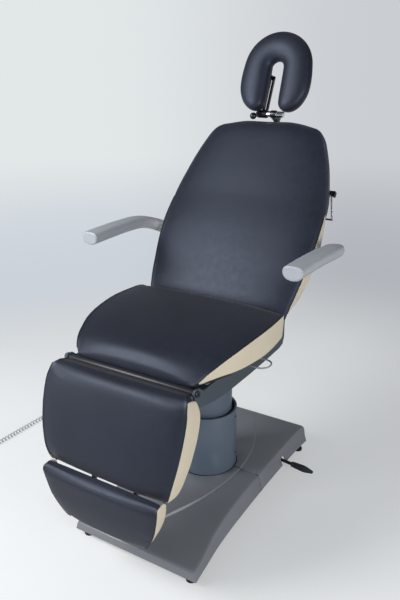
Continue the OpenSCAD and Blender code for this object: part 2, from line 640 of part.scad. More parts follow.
foot_edge_shares = [[0.02, -0.3], [0.06, -0.75], [0.11, -0.95], [0.3, -1.02], [0.5, -0.85], [0.7, -0.55], [0.85, -0.1], [0.93, 0.25],
    [0.97, 0.42]];
foot_rows = settled(finer(sized(foot_shares, [foot_l, foot_half, foot_face, foot_face, foot_crown, panel_t]), 2),
    foot_l, foot_face * foot_back_share);
foot_edges = sized(foot_edge_shares, [foot_l, foot_face]);
module foot_cushion() color(anthracite) at_foot() core(foot_rows);
module foot_side_left() color(cream) at_foot() side_panel(left, foot_rows, foot_edges);
module foot_side_right() color(cream) at_foot() side_panel(right, foot_rows, foot_edges);
foot_board_shares = [[0.1, 0.88], [0.3, 0.86], [0.5, 0.81], [0.7, 0.72], [0.84, 0.62]];
module foot_shell() color(slate)
    at_foot() translate([0, 0, foot_board_n]) linear_extrude(board_t) polygon(tray_line(foot_board_shares, foot_l, foot_half, 0));

// Backrest frame: two rails, cross beams, hinge lugs and a slot for the head post
back_rail_x = 190;
back_rail_w = 40;
frame_back = -40;
frame_mid = (frame_back - board_t) / 2;
rail_start = 40;
rail_drop = 45;
rail_end = back_l - rail_drop;
arm_u = 249;
bail_u = 497;
bail_x = 305;
lug_foot = 40;
post_w = 36;
post_t = 12;
post_reach = 250;
post_low = rail_end - post_reach;
arm_pin_in = 240;
arm_beam_half = 288;
back_beam_u = [rail_start, bail_u - back_rail_w / 2, rail_end - back_rail_w];
clamp_half = 10;
module back_frame() color(frame_black)
    at_back() difference() {
        union() {
            both_sides() {
                box([back_rail_x - back_rail_w / 2, rail_start, frame_back], [back_rail_x + back_rail_w / 2, rail_end, -board_t]);
                translate([plate_in - side_gap - back_lug_t, 0, 0]) {
                    along_x(0, back_lug_t, neck_r);
                    box([0, 0, frame_back], [back_lug_t, rail_start + lug_foot, 0]);
                }
                box([back_rail_x, rail_start, frame_back], [plate_in - side_gap, rail_start + lug_foot, -board_t]);
            }
            for (u = back_beam_u) box([-back_rail_x, u, frame_back], [back_rail_x, u + back_rail_w, -board_t]);
            box([-arm_beam_half, arm_u - back_rail_w / 2, frame_back], [arm_beam_half, arm_u + back_rail_w / 2, -board_t]);
            both_sides() box([back_rail_x, bail_u - clamp_half, frame_mid - clamp_half], [bail_x - clamp_half, bail_u + clamp_half, frame_mid + clamp_half]);
        }
        both_sides() along_x(plate_in - side_gap - back_lug_t * 2, frame_half, back_pin_r + fit);
        both_sides() translate([0, arm_u, frame_mid]) along_x(arm_pin_in, back_half, arm_pin_r);
        box([-post_w / 2 - seat_fit, bail_u - back_rail_w, frame_mid - post_t / 2 - seat_fit],
            [post_w / 2 + seat_fit, back_l, frame_mid + post_t / 2 + seat_fit]);
    }

// Backrest: station, half width, seam, underside, crown, panel
back_shares = [[-0.1, 0.78, 0.2, 0.15, 0.2, 0.5], [-0.088, 0.84, 0.4, 0.2, 0.5, 0.8], [-0.055, 0.885, 0.62, 0.36, 0.8, 1], [0, 0.905, 0.7, 0.42, 1, 1],
    [0.06, 0.93, 0.72, 0.16, 1, 1], [0.14, 0.955, 0.71, 0, 1, 1], [0.23, 0.98, 0.71, 0, 1, 1], [0.32, 0.996, 0.69, 0, 1, 1],
    [0.39, 1, 0.64, 0, 1.1, 1], [0.47, 0.995, 0.54, 0, 1.3, 0.8], [0.54, 0.98, 0.47, 0, 1.4, 0.2], [0.6, 0.958, 0.45, 0, 1.45, 0],
    [0.67, 0.92, 0.45, 0, 1.45, 0], [0.77, 0.86, 0.46, 0, 1.4, 0], [0.86, 0.785, 0.48, 0, 1.3, 0], [0.92, 0.725, 0.48, 0, 1.2, 0],
    [0.96, 0.65, 0.45, 0, 1, 0], [0.985, 0.55, 0.38, 0.02, 0.7, 0], [1, 0.43, 0.28, 0.06, 0.3, 0]];
back_edge_shares = [[-0.03, 0.6], [0.02, 0.3], [0.06, 0.1], [0.14, -0.08], [0.23, -0.12], [0.32, -0.1], [0.39, -0.02], [0.47, 0.16],
    [0.52, 0.3]];
back_rows = settled(finer(sized(back_shares, [back_l, back_half, back_face, back_face, back_crown, panel_t]), 2), back_l, 0);
back_edges = sized(back_edge_shares, [back_l, back_face]);
module back_cushion() color(anthracite) at_back() core(back_rows);
module back_side_left() color(cream) at_back() side_panel(left, back_rows, back_edges);
module back_side_right() color(cream) at_back() side_panel(right, back_rows, back_edges);
back_board_shares = [[0.12, 0.84], [0.3, 0.9], [0.45, 0.9], [0.6, 0.86], [0.75, 0.78], [0.88, 0.67], [0.95, 0.55], [0.97, 0.45]];
module back_board() color(board_black)
    at_back() translate([0, 0, -board_t]) linear_extrude(board_t) polygon(tray_line(back_board_shares, back_l, back_half, 0));
// Moulded cover over the rear of the backrest frame
back_tray_n = frame_back - side_gap;
back_tray_shares = [[0.12, 0.74], [0.16, 0.79], [0.3, 0.82], [0.5, 0.8], [0.7, 0.74], [0.85, 0.67], [0.94, 0.635], [0.955, 0.62]];
tray_slot = 60;
module back_cover() color(slate)
    at_back() difference() {
        translate([0, 0, back_tray_n - tray_t]) linear_extrude(tray_t - back_tray_n - board_t)
            polygon(tray_line(back_tray_shares, back_l, back_half, 0));
        translate([0, 0, back_tray_n]) linear_extrude(-back_tray_n)
            polygon(tray_line([for (s = back_tray_shares) [s[0] < 0.2 ? s[0] + tray_t / back_l : s[0] - tray_t / back_l, s[1]]], back_l, back_half, tray_t));
        both_sides() box([arm_beam_half - tray_slot, arm_u - back_rail_w / 2 - over, frame_back - over], [back_half, arm_u + back_rail_w / 2 + over, 0]);
        both_sides() box([arm_beam_half - tray_slot, bail_u - clamp_half - over, frame_back - over], [back_half, bail_u + clamp_half + over, 0]);
        box([-post_w / 2 - over, rail_end, frame_mid - post_t / 2 - over], [post_w / 2 + over, back_l, frame_mid + post_t / 2 + over]);
        both_sides() box([back_rail_x - back_rail_w / 2 - over, rail_start, frame_back - over], [back_rail_x + back_rail_w / 2 + over, rail_start + lug_foot * 2, 0]);
    }

// Armrests on pins through the backrest frame
arm_hub_gap = 4;
hub_x = back_half + arm_hub_gap;
hub_t = 8;
arm_hub_r = 27;
arm_hub_y = back_y + arm_u * sin(back_lean) - frame_mid * cos(back_lean);
arm_hub_z = back_z + arm_u * cos(back_lean) + frame_mid * sin(back_lean);
arm_root_x = hub_x + hub_t;
module arm_pins() color(steel)
    at_back() both_sides() translate([0, arm_u, frame_mid]) along_x(arm_pin_in, arm_root_x - seat_fit, arm_pin_r);
// Section of the armrest, as shares of its half width and half height
arm_outline_shares = [[-1, -0.1], [-0.97, 0.5], [-0.8, 0.86], [-0.5, 1], [0, 1.03], [0.5, 1], [0.8, 0.86], [0.97, 0.5], [1, -0.1],
    [0.8, -0.62], [0.45, -0.92], [0, -1], [-0.45, -0.92], [-0.8, -0.62]];
// Stations: shares of the run, of the way in, of the way down, half width, half height, turn
arm_shares = [[0, 0, 0, 0.86, 0.82, 0], [0.006, 0, 0, 0.95, 0.94, 0], [0.022, 0, 0, 1, 1, 0], [0.2, -0.04, 0, 1, 1, 0],
    [0.4, -0.1, 0.02, 1, 1, 0], [0.6, -0.17, 0.08, 1, 1, 0], [0.746, -0.18, 0.17, 0.98, 1, 0.03], [0.839, -0.04, 0.31, 0.96, 1, 0.22],
    [0.912, 0.36, 0.52, 0.9, 1, 0.58], [0.949, 0.74, 0.7, 0.85, 1, 0.84], [0.978, 1, 0.85, 0.83, 1, 1]];
arm_rows = finer(sized(arm_shares, [arm_front + arm_hub_y, arm_x - arm_root_x, arm_z - arm_hub_z, arm_half, arm_half_h, 90]), 2);
module armrest(side) {
    mirror([side < 0 ? 1 : 0, 0, 0])
        loft([for (r = arm_rows) ring_at([arm_x - r[1], r[0] - arm_front, arm_z - r[2]], [-sin(r[5]), cos(r[5]), 0], [0, 0, 1], r[3], r[4], arm_outline_shares)]);
}
module arm_hub(side) {
    mirror([side < 0 ? 1 : 0, 0, 0]) translate([0, arm_hub_y, arm_hub_z]) difference() {
        along_x(hub_x, arm_root_x, arm_hub_r);
        along_x(hub_x - over, arm_root_x + over, arm_pin_r + fit);
    }
}
module armrest_left() color(light_grey) armrest(left);
module armrest_right() color(light_grey) armrest(right);
module arm_hub_left() color(frame_black) arm_hub(left);
module arm_hub_right() color(frame_black) arm_hub(right);

// Paper roll bail: clamps on the backrest and a hanging rod
bail_r = 3.5;
bail_pin_out = 8;
bail_pin_end = 12;
bail_drop = 103;
bail_splay = 8;
// The clamp reaches past the rod, with a notch that the rod swings in
clamp_reach = 35;
notch_half = 6;
notch_top = 5;
bail_n = frame_mid;
bail_y = back_y + bail_u * sin(back_lean) - bail_n * cos(back_lean);
bail_z = back_z + bail_u * cos(back_lean) + bail_n * sin(back_lean);
module roll_clamps() color(black)
    at_back() both_sides() translate([bail_x, bail_u, bail_n]) difference() {
        box([-clamp_half, -clamp_half, -clamp_half], [clamp_reach, clamp_half, clamp_half]);
        along_x(-clamp_half - over, clamp_reach + over, bail_r + fit);
        box([bail_out - bail_x - notch_half, -clamp_half - over, -clamp_half - over],
            [bail_out - bail_x + notch_half, notch_top, clamp_half + over]);
    }
bail_out = bail_x + clamp_half + bail_pin_out;
bail_lean = atan(bail_splay / bail_drop);
module roll_bail() color(steel)
    translate([0, bail_y, bail_z]) {
        both_sides() {
            along_x(bail_x - clamp_half + side_gap, bail_out + bail_pin_end, bail_r);
            translate([bail_out, 0, 0]) rotate([0, 180 - bail_lean, 0]) cylinder(h = norm([bail_splay, bail_drop]), r = bail_r);
        }
        translate([0, 0, -bail_drop]) along_x(-bail_out - bail_splay - bail_r, bail_out + bail_splay + bail_r, bail_r);
    }

// Head rest: post, cross tube, clamp with double link, plate and horseshoe cushion
tube_rise = 38;
tube_u = back_l + tube_rise;
tube_n = 20;
boss_half = 11;
boss_r = 16;
cross_left = 74;
cross_right = 44;
post_arm_half = 11;
post_arm_t = 13;
tube_y = back_y + tube_u * sin(back_lean) - tube_n * cos(back_lean);
tube_z = back_z + tube_u * cos(back_lean) + tube_n * sin(back_lean);
head_y = tube_y + head_back;
head_z = tube_z + head_rise;
module head_post() color(black)
    at_back() difference() {
        union() {
            box([-post_w / 2, post_low, frame_mid - post_t / 2], [post_w / 2, tube_u - post_arm_t, frame_mid + post_t / 2]);
            box([-post_arm_half, tube_u - post_arm_t, frame_mid - post_t / 2], [post_arm_half, tube_u + post_arm_t, tube_n]);
            translate([0, tube_u, tube_n]) along_x(-boss_half, boss_half, boss_r);
        }
        translate([0, tube_u, tube_n]) along_x(-boss_half - over, boss_half + over, cross_r);
    }
module cross_tube() color(steel)
    translate([0, tube_y, tube_z]) along_x(-cross_left, cross_right, cross_r);
knuckle_r = 17;
knuckle_left = -70;
knuckle_right = -31;
bar_t = 6;
bar_half = 8;
bar_left_x = -54;
bar_right_x = -38;
bar_x = [bar_left_x, bar_right_x];
pivot_u = -10.5;
pivot_n = -58;
pivot_r = 5;
pivot_y = head_y + pivot_u * sin(head_lean) - pivot_n * cos(head_lean);
pivot_z = head_z + pivot_u * cos(head_lean) + pivot_n * sin(head_lean);
link_l = norm([pivot_y - tube_y, pivot_z - tube_z]);
link_lean = atan2(pivot_y - tube_y, pivot_z - tube_z);
lug_gap = 2;
// Clamp screw in front of the cross tube, with the axis of the backrest's length
clamp_x = -60;
clamp_n = 26;
clamp_r = 8;
clamp_cheek = 6.5;
clamp_u0 = -27;
clamp_u1 = -11;
stud_r = 3.5;
module head_link() color(black) {
    difference() {
        union() {
            translate([0, tube_y, tube_z]) {
                along_x(knuckle_left, knuckle_right, knuckle_r);
                rotate([90 - link_lean, 0, 0]) for (x = bar_x) translate([x, 0, 0]) {
                    box([0, 0, -bar_half], [bar_t, link_l, bar_half]);
                    translate([0, link_l, 0]) along_x(0, bar_t, bar_half);
                }
                rotate([90 - link_lean, 0, 0]) translate([0, link_l, 0]) along_x(bar_x[0] - lug_gap, bar_x[1] + bar_t + lug_gap, pivot_r);
            }
            at_back() translate([clamp_x, tube_u, tube_n]) {
                box([-clamp_cheek, clamp_u1 + over, 0], [clamp_cheek, clamp_u1 / 2, clamp_n]);
                translate([0, clamp_u1, clamp_n]) rotate([-90, 0, 0]) cylinder(h = -clamp_u1 / 3, r = clamp_r);
                translate([0, clamp_u0, clamp_n]) rotate([-90, 0, 0]) cylinder(h = clamp_u1 - clamp_u0, r = stud_r);
            }
        }
        translate([0, tube_y, tube_z]) along_x(knuckle_left - over, knuckle_right + over, cross_r + fit);
    }
}
ball_r = 14;
lever_out = 18;
lever_u0 = -25;
ball_u = -25.2;
lever_rod_r = 5;
module clamp_lever() color(black)
    at_back() translate([clamp_x, tube_u, tube_n + clamp_n]) difference() {
        union() {
            translate([0, lever_u0, 0]) rotate([-90, 0, 0]) cylinder(h = clamp_u1 - seat_fit - lever_u0, r = clamp_r);
            translate([0, (clamp_u1 + lever_u0) / 2, 0]) along_x(-lever_out, 0, lever_rod_r);
            translate([-lever_out, ball_u, 0]) sphere(r = ball_r);
        }
        translate([0, lever_u0 - over * 5, 0]) rotate([-90, 0, 0]) cylinder(h = over * 10 - lever_u0, r = stud_r + fit);
    }
// Horseshoe path: up one lobe, round the top and down the other
lobe_half = (head_w - head_slot) / 4;
lobe_x = head_w / 2 - lobe_half;
lobe_low = -head_l / 2;
arc_u = head_l / 2 - lobe_half - lobe_x;
arc_steps = 12;
head_outline_shares = [[-0.7, -1], [-0.95, -0.6], [-1, -0.05], [-0.9, 0.5], [-0.6, 0.86], [0, 1], [0.6, 0.86], [0.9, 0.5], [1, -0.05],
    [0.95, -0.6], [0.7, -1]];
// Each lobe from its end up: share of its length, of its thickness, inner and outer edge as shares of the half width
lobe_shares = [[0, 0.35, 0.43, 0.54], [0.02, 0.6, 0.36, 0.62], [0.067, 0.82, 0.28, 0.71], [0.13, 0.94, 0.225, 0.8],
    [0.2, 1, 0.2, 0.87], [0.37, 1, 0.19, 0.98], [0.54, 1, 0.187, 1.03], [0.82, 1, 0.187, 1.03]];
lobe_path = [for (s = lobe_shares) [[-head_w * (s[2] + s[3]) / 4, lobe_low + s[0] * (arc_u - lobe_low), 0], [0, 1, 0], head_w * (s[3] - s[2]) / 4, s[1]]];
arc_path = [for (i = [0:arc_steps]) let (a = 180 - i * 180 / arc_steps)
    [[lobe_x * cos(a), arc_u + lobe_x * sin(a), 0], [sin(a), -cos(a), 0], lobe_half, 1]];
other_path = [for (p = flip(lobe_path)) [[-p[0][0], p[0][1], 0], [0, -1, 0], p[2], p[3]]];
module head_cushion() color(anthracite)
    at_head() loft([for (p = concat(lobe_path, arc_path, other_path))
        ring_at(p[0], p[1], [0, 0, 1], p[2], head_thick / 2 * p[3], head_outline_shares)]);
plate_r = 90;
head_plate_t = 5;
plate_u0 = -62;
plate_u1 = 70;
lug_x0 = bar_x[0] + bar_t + lug_gap;
lug_x1 = bar_x[1] - lug_gap;
lug_half = 9;
plate_slot_half = -lug_x1;
plate_slot_rise = 12;
module head_plate() color(frame_black)
    at_head() difference() {
        union() {
            difference() {
                box([-plate_r, plate_u0, -head_thick / 2 - head_plate_t], [plate_r, plate_u1, -head_thick / 2]);
                box([-plate_slot_half, plate_u0 - over, -head_thick], [plate_slot_half, arc_u + head_slot / 2 + plate_slot_rise, 0]);
            }
            box([lug_x0, pivot_u - lug_half, pivot_n], [lug_x1, pivot_u + lug_half, -head_thick / 2 - head_plate_t / 2]);
            translate([0, pivot_u, pivot_n]) along_x(lug_x0, lug_x1, lug_half);
        }
        translate([0, pivot_u, pivot_n]) along_x(lug_x0 - over, lug_x1 + over, pivot_r + fit);
    }

// Pedal at the right side of the base
pedal_pin_r = 6;
pedal_hub_r = 13;
pedal_z = 70;
pedal_x = 205;
pedal_half = 9;
pedal_side = 0.5;
pedal_ear_t = 8;
pedal_rod_r = 7;
pedal_rod_end = 292;
grip_end = 392;
grip_r = 14.5;
pedal_drop = 5;
module at_pedal() {
    translate([pedal_x, pedal_y, pedal_z]) children();
}
module pedal_bracket() color(frame_black)
    at_pedal() {
        for (s = sides) translate([0, s * (pedal_half + pedal_side + pedal_ear_t / 2), 0]) {
            rotate([90, 0, 0]) cylinder(h = pedal_ear_t, r = pedal_hub_r, center = true);
            box([-pedal_hub_r, -pedal_ear_t / 2, frame_high - pedal_z], [pedal_rod_r / 2, pedal_ear_t / 2, 0]);
        }
        rotate([90, 0, 0]) cylinder(h = (pedal_half + pedal_side + pedal_ear_t) * 2, r = pedal_pin_r, center = true);
    }
module pedal_arm() color(black)
    at_pedal() difference() {
        union() {
            rotate([90, 0, 0]) cylinder(h = pedal_half * 2, r = pedal_hub_r, center = true);
            rotate([0, pedal_drop, 0]) along_x(pedal_hub_r / 2, pedal_rod_end - pedal_x, pedal_rod_r);
        }
        rotate([90, 0, 0]) cylinder(h = pedal_half * 3, r = pedal_pin_r + fit, center = true);
    }
// Swell of the rubber grip: share of its length, share of its largest radius
grip_shares = [[0, 0.72], [0.06, 0.84], [0.3, 0.92], [0.5, 1], [0.62, 0.98], [0.8, 0.72], [0.93, 0.5], [1, 0.3]];
module pedal_grip() color([0.2, 0.22, 0.24])
    at_pedal() rotate([0, pedal_drop + 90, 0]) translate([0, 0, pedal_rod_end - pedal_x])
        rotate_extrude() polygon(concat([[0, 0]], [for (g = grip_shares) [g[1] * grip_r, g[0] * (grip_end - pedal_rod_end)]],
            [[0, grip_end - pedal_rod_end]]));

// Mains lead: gland, curly cable and plug on the floor at the left of the base
gland_x = 254;
gland_in = 16;
gland_t = 6;
gland_flange = 4;
relief_l = 42;
relief_rim = 1.5;
relief_share = 0.8;
cable_r = cable_d / 2;
module lead_gland() color(black)
    translate([-gland_x, gland_y, gland_z]) rotate([0, -90, 0]) {
        translate([0, 0, -gland_in]) cylinder(h = gland_in, r = gland_r);
        cylinder(h = gland_t, r = gland_r + gland_flange);
        translate([0, 0, gland_t]) cylinder(h = relief_l, r1 = gland_r * relief_share, r2 = cable_r + relief_rim);
    }
// Route of the lead over the floor, chosen by hand, from the gland to the plug
route = [[-302, 300, 76], [-309, 300, 76], [-330, 301, 72], [-354, 304, 57], [-378, 308, 36], [-402, 313, 17], [-428, 318, 7],
    [-460, 323, 4], [-520, 328, 3.3], [-590, 330, 3.3], [-640, 329, 3.6], [-676, 327, 5.5], [-704, 324, 8.5], [-732, 320, 10.3],
    [-790, 312, 10.3], [-840, 303, 10.3], [-884, 283, 10.3], [-921, 252, 10.3], [-948, 212, 10.3], [-964, 166, 10.3],
    [-974, 120, 10.3], [-982, 68, 10.3], [-989, 14, 10.3], [-995, -60, 10.3], [-1000, -130, 10.3], [-1004, -195, 10.3],
    [-1008, -255, 10.3], [-1011, -300, 10.3], [-1013, -330, 11], [-1015, -352, 13], [-1017, -372, 15.5], [-1018, -386, 17.2],
    [-1018, -394, 17.2], [-1018, -402, 17.2]];
// Length along the route at each of its points
function add_up(points, i, sum) = i < len(points) ? let (d = sum + norm(points[i] - points[i - 1])) concat([d], add_up(points, i + 1, d)) : [];
runs = concat([0], add_up(route, 1, 0));
lead_run = runs[len(runs) - 1];
function run_row(d, i = 0) = i >= len(runs) - 2 || runs[i + 1] > d ? i : run_row(d, i + 1);
function route_at(d) = let (i = run_row(d)) smooth(route, i + (d - runs[i]) / (runs[i + 1] - runs[i]));
curls_from = 452;
lead_end = 112;
curl_count = floor((lead_run - lead_end - curls_from) / curl_pitch);
curls_end = curls_from + curl_count * curl_pitch;
curl_r = (curl_d - cable_d) / 2;
curl_rings = 8;
curl_sides = 6;
half_step = curl_pitch / curl_rings;
function curl_radius(d) = curl_r * max(0, min(1, (d - curls_from) / curl_pitch, (curls_end - d) / curl_pitch));
function curl_turn(d) = 90 + 360 * max(0, min(curl_count, (d - curls_from) / curl_pitch));
function level(v) = let (f = [v[0], v[1], 0]) f / norm(f);
function route_dir(d) = level(route_at(min(lead_run, d + half_step)) - route_at(max(0, d - half_step)));
function swing(d) = let (t = route_dir(d), a = curl_turn(d)) [-t[1] * cos(a), t[0] * cos(a), sin(a)];
tail_shares = [0, 0.013, 0.03, 0.07, 0.115, 0.16, 0.21, 0.26, 0.33, 0.42, 0.52, 0.62, 0.72, 0.82, 0.92];
end_shares = [0.12, 0.25, 0.38, 0.5, 0.62, 0.74, 0.86, 0.93, 1];
lead_steps = concat([for (s = tail_shares) s * curls_from],
    [for (k = [0:curl_count * curl_rings]) curls_from + k * curl_pitch / curl_rings],
    [for (s = end_shares) curls_end + s * (lead_run - curls_end)]);
lead_points = [for (d = lead_steps) route_at(d) + curl_radius(d) * swing(d)];
lead_last = len(lead_points) - 1;
function lead_dir(i) = i == 0 ? [-1, 0, 0] : i == lead_last ? [0, -1, 0] :
    let (v = lead_points[i + 1] - lead_points[i - 1]) v / norm(v);
round_line = [for (k = [0:curl_sides - 1]) [sin(k * 360 / curl_sides), cos(k * 360 / curl_sides)]];
gaps = [for (i = [0:lead_last - curl_rings]) min([for (j = [i + curl_rings - 2:min(lead_last, i + curl_rings * 2)]) norm(lead_points[j] - lead_points[i])])];
module mains_lead() color([0.72, 0.73, 0.74]) {
    echo(str("Least gap of the curly lead to itself in mm: ", min([for (i = [len(tail_shares):lead_last - curl_rings - len(end_shares)]) gaps[i]]) - cable_d));
    loft([for (i = [0:lead_last]) ring_at(lead_points[i], lead_dir(i), swing(lead_steps[i]), cable_r, cable_r, round_line)]);
}
plug_r = 17;
plug_l = 34;
plug_relief = 26;
plug_share = 0.62;
prong_r = 2.4;
prong_l = 19;
prong_gap = 19;
module mains_plug() color([0.13, 0.13, 0.14])
    translate(route[len(route) - 1]) rotate([90, 0, 0]) {
        cylinder(h = plug_relief, r1 = cable_r + relief_rim, r2 = plug_r * plug_share);
        translate([0, 0, plug_relief]) cylinder(h = plug_l, r = plug_r);
        for (s = sides) translate([s * prong_gap / 2, 0, plug_relief + plug_l]) cylinder(h = prong_l, r = prong_r, $fn = 16);
    }

base_cover_front();
base_cover_rear();
base_frame();
levelling_feet();
column_collar();
collar_screws();
guide_ring();
lift_motor();
pedal_bracket();
pedal_arm();
pedal_grip();
lead_gland();
mains_lead();
mains_plug();
lift_column();
lift_screw();
tilt_bracket();
tilt_pin();
seat_frame();
seat_board();
seat_cushion();
seat_side_left();
seat_side_right();
ring_holder();
hinge_rod();
bar_end_caps();
back_hinge_pins();
leg_frame();
leg_shell();
leg_cushion();
leg_side_left();
leg_side_right();
foot_frame();
foot_shell();
foot_cushion();
foot_side_left();
foot_side_right();
back_frame();
back_board();
back_cushion();
back_side_left();
back_side_right();
back_cover();
arm_pins();
roll_clamps();
roll_bail();
armrest_left();
arm_hub_left();
armrest_right();
arm_hub_right();
head_post();
cross_tube();
head_link();
head_plate();
head_cushion();
clamp_lever();
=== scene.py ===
"""Looks of the electric treatment chair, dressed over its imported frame."""

import json
import logging
import math
from dataclasses import dataclass, field
from enum import Enum
from typing import Any, Mapping, Sequence

import bmesh
import bpy
import numpy as np
from mathutils import Matrix, Vector


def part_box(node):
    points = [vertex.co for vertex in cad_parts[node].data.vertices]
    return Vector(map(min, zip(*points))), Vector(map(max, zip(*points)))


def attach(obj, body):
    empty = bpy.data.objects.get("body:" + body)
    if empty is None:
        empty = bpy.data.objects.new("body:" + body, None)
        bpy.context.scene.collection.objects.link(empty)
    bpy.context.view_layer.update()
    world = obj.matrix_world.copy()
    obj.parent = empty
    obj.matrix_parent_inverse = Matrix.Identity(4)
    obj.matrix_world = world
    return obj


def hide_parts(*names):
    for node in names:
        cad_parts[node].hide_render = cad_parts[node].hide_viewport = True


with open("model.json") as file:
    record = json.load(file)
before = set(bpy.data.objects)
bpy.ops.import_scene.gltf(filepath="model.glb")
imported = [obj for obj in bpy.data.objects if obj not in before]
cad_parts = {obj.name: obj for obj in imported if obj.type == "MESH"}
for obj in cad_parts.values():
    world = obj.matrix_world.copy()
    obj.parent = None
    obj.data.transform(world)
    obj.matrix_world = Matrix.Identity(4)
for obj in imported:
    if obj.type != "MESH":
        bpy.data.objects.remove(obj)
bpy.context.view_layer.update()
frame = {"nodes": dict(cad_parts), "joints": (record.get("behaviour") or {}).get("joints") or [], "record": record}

MM = 0.001
WELD = 0.01 * MM
Colour = tuple[float, float, float]
Profile = Sequence[tuple[float, float]]

log = logging.getLogger("chair")


def linear(colour: Colour) -> tuple[float, float, float, float]:
    """Turn a screen colour into the renderer's linear one.

    Args:
        colour: Red, green and blue as a screen shows them, from 0 to 255.

    Returns:
        Linear red, green, blue and an alpha of 1.
    """
    shares = [c / 255 for c in colour]
    return (*[s / 12.92 if s < 0.04045 else ((s + 0.055) / 1.055) ** 2.4 for s in shares], 1.0)


class Slot(Enum):
    """Material slots of the record."""

    COVER = "cover_grey"
    COLUMN = "column_grey"
    FRAME = "frame_black"
    SLATE = "slate"
    SLATE_PLASTIC = "slate_plastic"
    FOOT_RUBBER = "black_rubber"
    BLACK_PLASTIC = "black_plastic"
    BLACK_METAL = "black_metal"
    GRIP = "grip_rubber"
    CABLE = "cable_grey"
    STEEL = "steel"
    CHROME = "chrome"
    ANTHRACITE = "anthracite"
    CREAM = "cream"
    ARMREST = "armrest_grey"
    BOARD = "board"


class Side(Enum):
    """Sides of the chair, as the sign of X."""

    LEFT = -1
    RIGHT = 1


class Sock:
    """Output of a shader node that does arithmetic by adding Math nodes."""

    def __init__(self, graph: "Graph", out: bpy.types.NodeSocket) -> None:
        """Keep the socket and the tree that it is in."""
        self.graph = graph
        self.out = out

    def _math(self, operation: str, first: Any, second: Any) -> "Sock":
        """Add one Math node for two values."""
        return self.graph.node("ShaderNodeMath", {0: first, 1: second}, operation=operation)

    def __add__(self, other: Any) -> "Sock":
        """Sum of the two."""
        return self._math("ADD", self, other)

    def __radd__(self, other: Any) -> "Sock":
        """Sum of the two."""
        return self._math("ADD", other, self)

    def __sub__(self, other: Any) -> "Sock":
        """This less the other."""
        return self._math("SUBTRACT", self, other)

    def __mul__(self, other: Any) -> "Sock":
        """Product of the two."""
        return self._math("MULTIPLY", self, other)

    def __pow__(self, other: Any) -> "Sock":
        """This to the power of the other."""
        return self._math("POWER", self, other)

    def between(self, low: float, high: float) -> "Sock":
        """Smooth rise from 0 to 1.

        Args:
            low: Value at which the rise starts.
            high: Value at which it ends.

        Returns:
            The share of the rise.
        """
        return self.graph.node("ShaderNodeMapRange", {0: self, 1: low, 2: high}, interpolation_type="SMOOTHSTEP")


class Graph:
    """Node tree of one finish."""

    def __init__(self, name: str) -> None:
        """Start a material with a Principled shader.

        Args:
            name: Name of the material.
        """
        self.material = bpy.data.materials.new(name)
        self.material.use_nodes = True
        self.nodes = self.material.node_tree.nodes
        self.links = self.material.node_tree.links
        self.nodes.clear()
        self.shader = self.nodes.new("ShaderNodeBsdfPrincipled")
        output = self.nodes.new("ShaderNodeOutputMaterial")
        self.links.new(self.shader.outputs[0], output.inputs[0])
        self.output = output

    def node(self, kind: str, inputs: Mapping[Any, Any] | None = None, out: int = 0, **settings: Any) -> Sock:
        """Add a node.

        Args:
            kind: Type of the node.
            inputs: Values or sockets, by the input's index or name.
            out: Index of the output that is wanted.
            **settings: Properties of the node.

        Returns:
            The wanted output.
        """
        made = self.nodes.new(kind)
        for key, value in settings.items():
            setattr(made, key, value)
        for key, value in (inputs or {}).items():
            if isinstance(value, Sock):
                self.links.new(value.out, made.inputs[key])
            else:
                made.inputs[key].default_value = value
        return Sock(self, made.outputs[out])

    def place(self, stretch: Sequence[float] = (1, 1, 1), turn: Sequence[float] = (0, 0, 0)) -> Sock:
        """Object coordinates, stretched and turned.

        Args:
            stretch: Scale along each axis.
            turn: Turn about each axis in degrees.

        Returns:
            The coordinates.
        """
        start = self.node("ShaderNodeTexCoord", out=3)
        angles = [math.radians(t) for t in turn]
        return self.node("ShaderNodeMapping", {0: start, 2: angles, 3: list(stretch)})

    def noise(self, scale: float, detail: float = 3, at: Sock | None = None) -> Sock:
        """Noise from 0 to 1.

        Args:
            scale: Waves per metre.
            detail: Number of finer layers.
            at: Coordinates, or none for the object's own.

        Returns:
            The noise.
        """
        return self.node("ShaderNodeTexNoise", {"Vector": at or self.place(), "Scale": scale, "Detail": detail})

    def cells(self, scale: float) -> Sock:
        """Distance to the nearest of scattered points.

        Args:
            scale: Cells per metre.

        Returns:
            The distance as a share of a cell.
        """
        return self.node("ShaderNodeTexVoronoi", {"Vector": self.place(), "Scale": scale})

    def blend(self, share: Sock, first: Colour, second: Colour) -> Sock:
        """Mix two screen colours.

        Args:
            share: Share of the second.
            first: Screen colour at 0.
            second: Screen colour at 1.

        Returns:
            The mixed colour.
        """
        return self.node("ShaderNodeMix", {0: share, 6: linear(first), 7: linear(second)}, out=2, data_type="RGBA")

    def bump(self, height: Sock, depth: float, strength: float = 1.0, below: Sock | None = None) -> Sock:
        """Relief from a height.

        Args:
            height: Height from 0 to 1.
            depth: Depth of the relief in metres.
            strength: Strength of the relief.
            below: Relief that this one lies on.

        Returns:
            The bent normal.
        """
        inputs = {"Height": height, "Distance": depth, "Strength": strength}
        if below is not None:
            inputs["Normal"] = below
        return self.node("ShaderNodeBump", inputs)

    def finish(self, fed: Mapping[str, Sock], **fixed: Any) -> bpy.types.Material:
        """Join the maps to the shader.

        Args:
            fed: Sockets for the shader's inputs, by name.
            **fixed: Constants for inputs, by name with _ for a space.

        Returns:
            The material.
        """
        for name, value in fixed.items():
            self.shader.inputs[name.replace("_", " ")].default_value = value
        for name, sock in fed.items():
            self.links.new(sock.out, self.shader.inputs[name])
        return self.material


